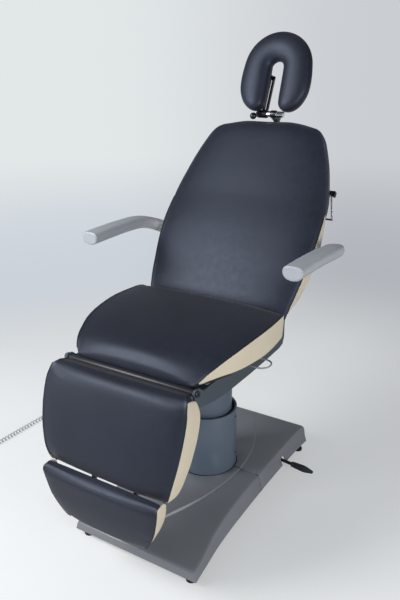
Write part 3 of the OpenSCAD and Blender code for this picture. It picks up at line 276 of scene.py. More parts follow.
@dataclass(frozen=True)
class Leatherette:
    """Smooth upholstery sheet with a fine pebbled grain."""

    lit: Colour
    deep: Colour
    roughness: float = 0.45
    grain: float = 780.0
    grain_depth: float = 0.00012
    sheen: float = 0.1
    gloss: tuple[float, float, float, float] = (0.7, 0.79, 1.0, 1.0)

    def build(self, name: str) -> bpy.types.Material:
        """Make the material.

        Args:
            name: Name of the material.

        Returns:
            The material.
        """
        g = Graph(name)
        broad = g.noise(3.2, 2)
        fine = g.noise(46, 4)
        pebbles = g.cells(self.grain)
        colour = g.blend((broad * 0.72 + fine * 0.28 + pebbles * 0.12).between(0.25, 0.85), self.deep, self.lit)
        soft = g.bump(g.noise(5.5, 2), 0.006, 0.2)
        pulled = g.bump(g.noise(30, 3, g.place((1, 0.35, 0.35))), 0.0006, 0.2, soft)
        grained = g.bump(pebbles + g.noise(1600, 2) * 0.35, self.grain_depth, 0.4, pulled)
        rough = self.roughness + (fine - 0.5) * 0.12 + pebbles * 0.05
        return g.finish({"Base Color": colour, "Roughness": rough, "Normal": grained},
                        Sheen_Weight=self.sheen, Sheen_Roughness=0.45, Specular_IOR_Level=0.5,
                        Specular_Tint=self.gloss)


@dataclass(frozen=True)
class Lacquer:
    """Sprayed satin paint with orange peel, handling marks and worn sheen."""

    colour: Colour
    worn: Colour
    roughness: float = 0.38
    coat: float = 0.12
    peel: float = 0.00003

    def build(self, name: str) -> bpy.types.Material:
        """Make the material.

        Args:
            name: Name of the material.

        Returns:
            The material.
        """
        g = Graph(name)
        clouds = g.noise(4, 4)
        specks = g.noise(900, 1).between(0.66, 0.74)
        marks = g.noise(38, 5, g.place((1, 0.15, 1), (0, 0, 24))).between(0.6, 0.78)
        colour = g.blend((clouds * 0.7 + specks * 0.25 + marks * 0.2).between(0.2, 1), self.colour, self.worn)
        rough = self.roughness + (clouds - 0.5) * 0.1 + marks * 0.12 + specks * 0.06
        relief = g.bump(g.noise(420, 2), self.peel, 0.6)
        return g.finish({"Base Color": colour, "Roughness": rough, "Normal": relief},
                        Coat_Weight=self.coat, Coat_Roughness=0.25, Specular_IOR_Level=0.5)


@dataclass(frozen=True)
class Moulding:
    """Moulded plastic or rubber with a spark-eroded texture."""

    colour: Colour
    dusty: Colour
    roughness: float = 0.5
    texture: float = 1300.0
    depth: float = 0.00006
    specular: float = 0.4

    def build(self, name: str) -> bpy.types.Material:
        """Make the material.

        Args:
            name: Name of the material.

        Returns:
            The material.
        """
        g = Graph(name)
        clouds = g.noise(9, 4)
        grit = g.noise(self.texture, 2)
        colour = g.blend((clouds * 0.8 + grit * 0.2).between(0.3, 0.9), self.colour, self.dusty)
        rough = self.roughness + (clouds - 0.5) * 0.14 + (grit - 0.5) * 0.08
        relief = g.bump(grit, self.depth, 0.55, g.bump(g.noise(14, 2), 0.0006, 0.3))
        return g.finish({"Base Color": colour, "Roughness": rough, "Normal": relief},
                        Specular_IOR_Level=self.specular)


@dataclass(frozen=True)
class Metal:
    """Bare or plated metal with drawn lines or a polish."""

    colour: Colour
    roughness: float
    lines: float
    stretch: tuple[float, float, float] = (0.02, 1, 1)

    def build(self, name: str) -> bpy.types.Material:
        """Make the material.

        Args:
            name: Name of the material.

        Returns:
            The material.
        """
        g = Graph(name)
        drawn = g.noise(1500, 3, g.place(self.stretch))
        smudges = g.noise(28, 4)
        dark = tuple(c * 0.86 for c in self.colour)
        colour = g.blend((drawn * 0.4 + smudges * 0.6).between(0.3, 0.75), self.colour, dark)
        rough = self.roughness + (drawn - 0.5) * self.lines + (smudges - 0.45) * 0.08
        relief = g.bump(drawn, 0.00002, 0.4)
        return g.finish({"Base Color": colour, "Roughness": rough, "Normal": relief}, Metallic=1.0)


@dataclass(frozen=True)
class Plywood:
    """Dark-stained plywood with its layers and grain."""

    pale: Colour
    brown: Colour

    def build(self, name: str) -> bpy.types.Material:
        """Make the material.

        Args:
            name: Name of the material.

        Returns:
            The material.
        """
        g = Graph(name)
        grain = g.noise(60, 6, g.place((1, 0.06, 0.06)))
        plies = g.noise(480, 1, g.place((0.02, 0.02, 1)))
        colour = g.blend((grain * 0.7 + plies * 0.3).between(0.3, 0.7), self.brown, self.pale)
        relief = g.bump(grain, 0.0002, 0.5)
        return g.finish({"Base Color": colour, "Roughness": 0.6 + grain * 0.2, "Normal": relief})


@dataclass(frozen=True)
class Finishes:
    """All finishes of the chair, by the record's slots."""

    made: dict[Slot, Any] = field(default_factory=lambda: {
        Slot.ANTHRACITE: Leatherette((42, 46, 60), (28, 31, 41)),
        Slot.CREAM: Leatherette((252, 240, 214), (246, 233, 206), 0.46, 780.0, 0.0001, 0.05),
        Slot.ARMREST: Moulding((198, 202, 210), (190, 194, 202), 0.38, 900.0, 0.00005, 0.5),
        Slot.COVER: Lacquer((140, 144, 151), (151, 155, 162), 0.32, 0.3),
        Slot.COLUMN: Lacquer((102, 115, 132), (112, 125, 142), 0.3, 0.3),
        Slot.FRAME: Lacquer((44, 45, 52), (54, 55, 63), 0.4, 0.1),
        Slot.SLATE: Lacquer((76, 87, 96), (86, 97, 106), 0.45, 0.05),
        Slot.SLATE_PLASTIC: Moulding((70, 80, 90), (82, 91, 100), 0.5),
        Slot.FOOT_RUBBER: Moulding((20, 20, 22), (34, 34, 36), 0.6, 700.0, 0.0001),
        Slot.BLACK_PLASTIC: Moulding((22, 22, 25), (32, 32, 36), 0.42),
        Slot.BLACK_METAL: Lacquer((20, 20, 24), (33, 33, 38), 0.32, 0.2),
        Slot.GRIP: Moulding((52, 57, 66), (64, 69, 78), 0.55, 800.0, 0.00009),
        Slot.CABLE: Moulding((196, 199, 203), (184, 187, 191), 0.42, 600.0, 0.00003),
        Slot.STEEL: Metal((150, 153, 158), 0.32, 0.12),
        Slot.CHROME: Metal((222, 224, 228), 0.09, 0.04, (1, 1, 1)),
        Slot.BOARD: Plywood((58, 55, 54), (42, 40, 40)),
    })

    def materials(self) -> dict[Slot, bpy.types.Material]:
        """Make one material for each slot.

        Returns:
            The materials.
        """
        return {slot: finish.build(f"chair_{slot.value}") for slot, finish in self.made.items()}


class Shop:
    """Turns meshes into pieces that ride on the frame's bodies."""

    def __init__(self) -> None:
        """Make the finishes and read which slot each CAD node has."""
        self.materials = Finishes().materials()
        self.slot_of = {row["node"]: Slot(row["material_slot"]) for row in frame["record"]["subparts"]}
        self.body_of = {n: body for body, nodes in frame["record"]["behaviour"]["bodies"].items() for n in nodes}

    def piece(self, name: str, mesh: bpy.types.Mesh, slot: Slot, body: str, crease: float = 40.0) -> bpy.types.Object:
        """Make a shown piece of a mesh.

        Args:
            name: Name of the piece.
            mesh: Its mesh, in place.
            slot: Slot whose finish it takes.
            body: Body that it rides on.
            crease: Angle in degrees above which an edge stays sharp.

        Returns:
            The piece.
        """
        mesh.name = name
        mesh.shade_smooth()
        mesh.set_sharp_from_angle(angle=math.radians(crease))
        made = bpy.data.objects.new(name, mesh)
        bpy.context.scene.collection.objects.link(made)
        mesh.materials.clear()
        mesh.materials.append(self.materials[slot])
        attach(made, body)
        log.info("%s: %d faces, rides on %s", name, len(mesh.polygons), body)
        return made

    def from_bmesh(self, name: str, bm: bmesh.types.BMesh, slot: Slot, body: str,
                   crease: float = 40.0) -> bpy.types.Object:
        """Make a shown piece of a bmesh, which is freed.

        Args:
            name: Name of the piece.
            bm: Its bmesh, in place.
            slot: Slot whose finish it takes.
            body: Body that it rides on.
            crease: Angle in degrees above which an edge stays sharp.

        Returns:
            The piece.
        """
        bmesh.ops.recalc_face_normals(bm, faces=bm.faces)
        mesh = bpy.data.meshes.new(name)
        bm.to_mesh(mesh)
        bm.free()
        return self.piece(name, mesh, slot, body, crease)

    def merged(self, node: str) -> bmesh.types.BMesh:
        """Copy a CAD node's mesh with its loose triangles joined.

        Args:
            node: Name of the CAD node.

        Returns:
            The copy.
        """
        bm = bmesh.new()
        bm.from_mesh(frame["nodes"][node].data)
        bmesh.ops.remove_doubles(bm, verts=bm.verts, dist=WELD)
        return bm

    def subdivided(self, bm: bmesh.types.BMesh, along: Vector, levels: int, keep: float = 0.85) -> bpy.types.Mesh:
        """Smooth a coarse closed mesh, with the sharp edges that run along it kept.

        Args:
            bm: The coarse bmesh, which is freed.
            along: Direction that the mesh's seams follow roughly.
            levels: Number of subdivisions.
            keep: How sharp a seam stays, from 0 to 1.

        Returns:
            The smooth mesh.
        """
        bmesh.ops.join_triangles(bm, faces=bm.faces, angle_face_threshold=math.radians(40),
                                 angle_shape_threshold=math.radians(50))
        layer = bm.edges.layers.float.new("crease_edge")
        for edge in bm.edges:
            run = (edge.verts[1].co - edge.verts[0].co).normalized()
            if len(edge.link_faces) == 2 and abs(run.dot(along)) > 0.4 and edge.calc_face_angle() > math.radians(42):
                edge[layer] = keep
        coarse = bpy.data.meshes.new("coarse")
        bm.to_mesh(coarse)
        bm.free()
        holder = bpy.data.objects.new("coarse", coarse)
        bpy.context.scene.collection.objects.link(holder)
        modifier = holder.modifiers.new("smooth", "SUBSURF")
        modifier.levels = levels
        mesh = bpy.data.meshes.new_from_object(holder.evaluated_get(bpy.context.evaluated_depsgraph_get()))
        bpy.data.objects.remove(holder)
        return mesh

    def dress(self, node: str, bevel: float, crease: float) -> None:
        """Give a shown CAD node its finish, softened edges and smooth shading.

        Args:
            node: Name of the CAD node.
            bevel: Width of the softened edges in metres.
            crease: Angle in degrees above which an edge is softened.
        """
        made = frame["nodes"][node]
        made.data.materials.clear()
        made.data.materials.append(self.materials[self.slot_of[node]])
        made.data.polygons.foreach_set("use_smooth", [True] * len(made.data.polygons))
        weld = made.modifiers.new("weld", "WELD")
        weld.merge_threshold = WELD
        if bevel:
            soft = made.modifiers.new("soft", "BEVEL")
            soft.width = bevel
            soft.segments = 2
            soft.limit_method = "ANGLE"
            soft.angle_limit = math.radians(crease)
        split = made.modifiers.new("split", "EDGE_SPLIT")
        split.split_angle = math.radians(crease)


def turned(profile: Profile, start: Vector, axis: Vector, steps: int = 48) -> bmesh.types.BMesh:
    """Spin a profile round an axis.

    Args:
        profile: Radius and height of each of its points, in metres, from the low end to the high one.
        start: Point of the axis at height 0.
        axis: Direction of the axis.
        steps: Number of faces round the axis.

    Returns:
        The turned bmesh, in place.
    """
    bm = bmesh.new()
    verts = [bm.verts.new((r, 0, h)) for r, h in profile]
    edges = [bm.edges.new(pair) for pair in zip(verts, verts[1:])]
    bmesh.ops.spin(bm, geom=verts + edges, cent=(0, 0, 0), axis=(0, 0, 1), angle=math.tau, steps=steps,
                   use_merge=True)
    bmesh.ops.remove_doubles(bm, verts=bm.verts, dist=WELD)
    turn = Vector((0, 0, 1)).rotation_difference(axis).to_matrix().to_4x4()
    bmesh.ops.transform(bm, matrix=Matrix.Translation(start) @ turn, verts=bm.verts)
    return bm


def swept(name: str, points: Sequence[Vector], radius: float, sides: int = 3) -> bpy.types.Object:
    """Round bar along a line, as a curve of one open spline.

    Args:
        name: Name of the curve's object.
        points: Points of the line.
        radius: Radius of the bar in metres.
        sides: Fineness of its section.

    Returns:
        The curve's object, which isn't linked yet.
    """
    curve = bpy.data.curves.new(name, "CURVE")
    curve.dimensions = "3D"
    curve.bevel_depth = radius
    curve.bevel_resolution = sides
    curve.use_fill_caps = True
    spline = curve.splines.new("POLY")
    spline.points.add(len(points) - 1)
    for point, place in zip(spline.points, points):
        point.co = (*place, 1)
    return bpy.data.objects.new(name, curve)


def swept_mesh(name: str, points: Sequence[Vector], radius: float, sides: int = 3) -> bpy.types.Mesh:
    """Round bar along a line, as a mesh.

    Args:
        name: Name of the mesh.
        points: Points of the line.
        radius: Radius of the bar in metres.
        sides: Fineness of its section.

    Returns:
        The mesh.
    """
    holder = swept(name, points, radius, sides)
    bpy.context.scene.collection.objects.link(holder)
    mesh = bpy.data.meshes.new_from_object(holder.evaluated_get(bpy.context.evaluated_depsgraph_get()))
    bpy.data.objects.remove(holder)
    return mesh


def joint_place(name: str) -> Vector:
    """Point that a joint of the frame turns about, in metres."""
    return Vector(next(j for j in frame["joints"] if j["name"] == name)["pos_m"])


@dataclass(frozen=True)
class Lean:
    """Local frame of a pad: X across, Y along it away from its hinge, Z out of its face."""

    origin: Vector
    along: Vector
    out: Vector

    @classmethod
    def hinged(cls, origin: Vector, degrees: float, rise: int) -> "Lean":
        """Frame of a pad that leans at its hinge, with its top to the back.

        Args:
            origin: Middle of its hinge.
            degrees: Lean from the vertical.
            rise: 1 for a pad that rises from its hinge, -1 for one that hangs.

        Returns:
            The frame.
        """
        a = math.radians(degrees)
        start = Vector((0, origin.y, origin.z))
        along = Vector((0, rise * math.sin(a), rise * math.cos(a)))
        return cls(start, along, Vector((0, -math.cos(a), math.sin(a))))

    def inside(self, point: Vector) -> Vector:
        """Local coordinates of a point of the frame."""
        d = Vector(point) - self.origin
        return Vector((d.x, d.dot(self.along), d.dot(self.out)))

    def outside(self, x: float, y: float, z: float) -> Vector:
        """Point of the frame for local coordinates."""
        return self.origin + Vector((x, 0, 0)) + self.along * y + self.out * z


@dataclass
class Pad:
    """Stuffed pad on a board, with a cream panel at each side where it has them."""

    name: str
    core: str
    lean: Lean
    panels: tuple[str, ...] = ()
    seat_line: float = 0.0
    puff: float = 6 * MM
    levels: int = 3
    keep: float = 0.85
    fill: float = 0.75
    welt: float = 1.4 * MM
    smoothing: int = 2
    evening: int = 25
    reach: float = 0.0
    reach_run: float = 0.05
    panel_keep: float = 0.7
    panel_fill: float = 0.8
    pressure: float = 4.0
    frames: int = 16
    board_run: float = 0.03

    def build(self, shop: Shop) -> None:
        """Make the core, its panels and the welts between them.

        Args:
            shop: The shop that makes the pieces.
        """
        body = shop.body_of[self.core]
        mesh = self.drawn_out(shop.subdivided(shop.merged(self.core), self.lean.along, self.levels, self.keep))
        self.inflate(mesh)
        core = shop.piece(f"{self.name}_upholstery", mesh, Slot.ANTHRACITE, body, 70)
        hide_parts(self.core)
        for node in self.panels:
            side = self.drawn_out(shop.subdivided(shop.merged(node), self.lean.along, self.levels, self.panel_keep))
            panel = shop.piece(f"{node}_panel", side, Slot.CREAM, body, 70)
            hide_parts(node)
            welt = self.drawn_out(swept_mesh(node, self.seam(node), self.welt))
            shop.piece(f"{node}_welt", welt, Slot.ANTHRACITE, body, 60)

    def drawn_out(self, mesh: bpy.types.Mesh) -> bpy.types.Mesh:
        """Draw the upper end out to what it meets.

        Args:
            mesh: Mesh of a core, panel or welt, which is changed.

        Returns:
            The same mesh.
        """
        places = np.zeros(len(mesh.vertices) * 3)
        mesh.vertices.foreach_get("co", places)
        places = places.reshape(-1, 3)
        share = np.clip(1 - (places - np.array(self.lean.origin)) @ np.array(self.lean.along) / self.reach_run, 0, 1)
        share = share * share * (3 - 2 * share)
        places -= self.reach * share[:, None] * np.array(self.lean.along)
        mesh.vertices.foreach_set("co", places.ravel())
        return mesh

    def seam(self, node: str) -> list[Vector]:
        """Line on which a side panel is sewn to the core.

        Args:
            node: CAD node of the panel.

        Returns:
            The points of the line, from one end to the other.
        """
        rows: dict[float, list[Vector]] = {}
        for vertex in frame["nodes"][node].data.vertices:
            local = self.lean.inside(vertex.co)
            rows.setdefault(round(local.y, 4), []).append(local)
        line = []
        for y in sorted(rows):
            top = max(rows[y], key=lambda q: q.z)
            line.append(self.lean.outside(top.x, top.y, top.z))
        return line

    def inflate(self, mesh: bpy.types.Mesh) -> None:
        """Blow the cover up with a cloth simulation, away from its board and its seams.

        Args:
            mesh: Mesh of the core, which is changed.
        """
        holder = bpy.data.objects.new("blown", mesh)
        scene = bpy.context.scene
        scene.collection.objects.link(holder)
        cloth = holder.modifiers.new("blown", "CLOTH")
        cloth.settings.quality = 3
        cloth.settings.use_pressure = True
        cloth.settings.uniform_pressure_force = self.pressure
        cloth.settings.effector_weights.gravity = 0
        cloth.collision_settings.use_collision = False
        cloth.point_cache.frame_start = 1
        cloth.point_cache.frame_end = self.frames
        for number in range(1, self.frames + 1):
            scene.frame_set(number)
        blown = holder.evaluated_get(bpy.context.evaluated_depsgraph_get()).data
        count = len(mesh.vertices)
        before, after, normals = (np.zeros(count * 3) for _ in range(3))
        mesh.vertices.foreach_get("co", before)
        blown.vertices.foreach_get("co", after)
        mesh.vertices.foreach_get("normal", normals)
        before, after, normals = (a.reshape(-1, 3) for a in (before, after, normals))
        move = after - before
        move -= np.mean(move, axis=0)
        length = np.linalg.norm(move, axis=1)[:, None] + 1e-9
        move *= np.minimum(1, self.puff / length)
        ends = np.zeros(len(mesh.edges) * 2, dtype=int)
        mesh.edges.foreach_get("vertices", ends)
        ends = ends.reshape(-1, 2)
        joined = np.bincount(ends.ravel(), minlength=count)[:, None]
        for _ in range(self.evening):
            near = np.zeros_like(move)
            np.add.at(near, ends[:, 0], move[ends[:, 1]])
            np.add.at(near, ends[:, 1], move[ends[:, 0]])
            move = near / joined
        height = (before - np.array(self.lean.origin)) @ np.array(self.lean.out) - self.seat_line
        off_board = np.clip(height / self.board_run, 0, 1)
        off_panel = np.clip((0.75 - np.abs(normals[:, 0])) / 0.5, 0, 1)
        mesh.vertices.foreach_set("co", (before + move * (off_board * off_panel)[:, None]).ravel())
        bpy.data.objects.remove(holder)
        scene.frame_set(1)
        soft = bmesh.new()
        soft.from_mesh(mesh)
        for _ in range(self.smoothing):
            bmesh.ops.smooth_vert(soft, verts=soft.verts, factor=0.5, use_axis_x=True, use_axis_y=True,
                                  use_axis_z=True)
        soft.to_mesh(mesh)
        soft.free()


@dataclass
class Pads:
    """All the upholstered pads of the chair."""

    back_lean: float = 34.0
    leg_lean: float = 18.0
    foot_lean: float = -7.6
    head_lean: float = 20.0
    foot_middle: Vector = field(default_factory=lambda: Vector((0, -0.660, 0.327)))
    foot_length: float = 0.206

    def build(self, shop: Shop) -> None:
        """Make every pad.

        Args:
            shop: The shop that makes the pieces.
        """
        seat_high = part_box("seat_cushion")[1]
        seat = Lean(Vector((0, seat_high.y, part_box("seat_board")[1].z)), Vector((0, -1, 0)), Vector((0, 0, 1)))
        back = Lean.hinged(joint_place("back_recline"), self.back_lean, 1)
        leg = Lean.hinged(joint_place("leg_raise"), self.leg_lean, -1)
        foot = Lean.hinged(self.foot_middle, self.foot_lean, -1)
        foot = Lean(foot.outside(0, -self.foot_length / 2, 0), foot.along, foot.out)
        low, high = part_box("head_cushion")
        head = Lean.hinged((low + high) / 2, self.head_lean, 1)
        for pad in (
            Pad("seat", "seat_cushion", seat, ("seat_side_left", "seat_side_right"), keep=0.55),
            Pad("back", "back_cushion", back, ("back_side_left", "back_side_right"), keep=0.55),
            Pad("leg", "leg_cushion", leg, ("leg_side_left", "leg_side_right"), keep=0.6, reach=8 * MM),
            Pad("foot", "foot_cushion", foot, ("foot_side_left", "foot_side_right"), -6.6 * MM, 4 * MM, reach=8 * MM),
            Pad("head", "head_cushion", head, (), -35 * MM, 4 * MM, keep=0.0),
        ):
            pad.build(shop)


@dataclass
class Armrests:
    """Two moulded armrests, bent in to their hubs."""

    levels: int = 2

    def build(self, shop: Shop) -> None:
        """Make both armrests.

        Args:
            shop: The shop that makes the pieces.
        """
        for side in Side:
            node = f"armrest_{side.name.lower()}"
            bm = shop.merged(node)
            bmesh.ops.join_triangles(bm, faces=bm.faces, angle_face_threshold=math.radians(40),
                                     angle_shape_threshold=math.radians(50))
            made = shop.from_bmesh(f"{node}_pad", bm, Slot.ARMREST, shop.body_of[node], 180)
            soft = made.modifiers.new("soft", "SUBSURF")
            soft.levels = self.levels
            soft.render_levels = self.levels
            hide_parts(node)


@dataclass
class Base:
    """Small pieces of the base: a dark ring of painted shade at the collar's foot, the column's wiper, a dark strip
    of painted shade in the cover's seam, the foot pedal's grip and the lead's gland.
    """

    collar_radius: float = 123 * MM
    column_radius: float = 103 * MM
    wiper_height: float = 376 * MM
    pedal_drop: float = 5.0
    grip_start: float = 87 * MM
    grip_length: float = 100 * MM
    grip_radius: float = 14.5 * MM
    gland_radius: float = 11 * MM
    gland_tip: float = 4.5 * MM
    gland_flange: float = 22 * MM
    nut_radius: float = 15 * MM
    nut_edge: float = 13.5 * MM
    nut_run: tuple[float, float] = (16 * MM, 20.5 * MM)
    ribs: int = 6
    rib_depth: float = 1.2 * MM
    split_reach: float = 0.6 * MM
    split_radius: float = 1.5 * MM
    ring_steps: int = 128
    shade_ring_sunk: float = 3 * MM
    shade_ring_mm: Profile = ((0.1, 0), (4, 0), (4.6, 0.8), (4, 2.2), (1.6, 3.2), (0.1, 4))
    wiper_mm: Profile = ((0.3, 5), (1.4, 5.4), (5, 1.6), (11.5, 1.2), (11.5, 0), (1.2, 0))
    grip_shares: Profile = (
        (0, 0.72), (0.02, 0.8), (0.07, 0.84), (0.08, 0.76), (0.1, 0.76), (0.11, 0.86), (0.3, 0.92), (0.5, 1),
        (0.62, 0.98), (0.72, 0.84), (0.8, 0.72), (0.9, 0.56), (0.97, 0.46), (0.995, 0.3))

    def build(self, shop: Shop) -> None:
        """Make the pieces.

        Args:
            shop: The shop that makes the pieces.
        """
        up = Vector((0, 0, 1))
        r = self.collar_radius
        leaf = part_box("base_cover_front")[1].z
        # Dark rubber ring round the collar's foot: painted shade for the shadow in the gap where the collar passes
        # through the cover.
        shade_profile = [(r + out * MM, high * MM) for out, high in self.shade_ring_mm]
        ring = turned(shade_profile + shade_profile[:1], Vector((0, 0, leaf - self.shade_ring_sunk)), up, self.ring_steps)
        shop.from_bmesh("collar_seal", ring, Slot.FOOT_RUBBER, "base")
        r = self.column_radius
        wiper = [(r + out * MM, high * MM) for out, high in self.wiper_mm]
        ring = turned(wiper + wiper[:1], Vector((0, 0, self.wiper_height)), up, self.ring_steps)
        shop.from_bmesh("column_wiper", ring, Slot.FOOT_RUBBER, "base")
        self.grip(shop)
        self.gland(shop)
        self.split(shop)

    def split(self, shop: Shop) -> None:
        """Make the dark strip where the two halves of the cover meet, a painted shade that stands in for the shadow
        in their seam.

        Args:
            shop: The shop that makes the pieces.
        """
        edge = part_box("base_cover_front")[1].y
        rows: dict[float, Vector] = {}
        for vertex in frame["nodes"]["base_cover_front"].data.vertices:
            outside = abs(vertex.co.x) > self.collar_radius + self.split_reach
            if outside and abs(vertex.co.y - edge) < self.split_reach:
                key = round(vertex.co.x, 4)
                if key not in rows or vertex.co.z > rows[key].z:
                    rows[key] = vertex.co.copy()
        for side in Side:
            line = [rows[x] for x in sorted(rows) if x * side.value > 0]
            log.info("cover split %s: %d points", side.name, len(line))
            if len(line) > 1:
                # Dark rubber-coloured tube laid along the top of the seam: painted shade for the shadow in the gap
                # between the cover halves.
                mesh = swept_mesh(f"split_{side.name.lower()}", line, self.split_radius, 8)
                shop.piece(f"cover_gasket_{side.name.lower()}", mesh, Slot.FOOT_RUBBER, "base")

    def grip(self, shop: Shop) -> None:
        """Make the pedal's rubber grip with its collar and grooves.

        Args:
            shop: The shop that makes the pieces.
        """
        length, big = self.grip_length, self.grip_radius
        profile = [(0, 0)] + [(b * big, a * length) for a, b in self.grip_shares] + [(0, length)]
        drop = math.radians(self.pedal_drop)
        axis = Vector((math.cos(drop), 0, -math.sin(drop)))
        start = joint_place("pedal_press") + axis * self.grip_start
        grip = turned(profile, start, axis, 40)
        made = shop.from_bmesh("pedal_grip_rubber", grip, Slot.GRIP, shop.body_of["pedal_grip"], 50)
        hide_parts("pedal_grip")

    def gland(self, shop: Shop) -> None:
        """Make the ribbed strain relief where the lead leaves the base.

        Args:
            shop: The shop that makes the pieces.
        """
        low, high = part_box("lead_gland")
        length = high.x - low.x
        root, tip, flange, ribs = self.gland_radius, self.gland_tip, self.gland_flange, self.ribs
        nut, (low_end, high_end) = self.nut_radius, self.nut_run
        profile = [(0, 0), (root, 0), (root, low_end), (nut, low_end), (nut, high_end), (self.nut_edge, flange)]
        run = length - flange
        for i in range(ribs):
            share = i / ribs
            r = root * 0.8 + (tip - root * 0.8) * share
            start = flange + run * share
            groove = r - self.rib_depth
            profile += [(r, start + 0.4 * MM), (r, start + run / ribs * 0.62),
                        (groove, start + run / ribs * 0.66), (groove, start + run / ribs * 0.96)]
        profile += [(tip, length - 1 * MM), (0, length)]
        start = Vector((high.x, (low.y + high.y) / 2, (low.z + high.z) / 2))
        relief = turned(profile, start, Vector((-1, 0, 0)), 32)
        made = shop.from_bmesh("lead_strain_relief", relief, Slot.BLACK_PLASTIC, "base", 35)
        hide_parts("lead_gland")


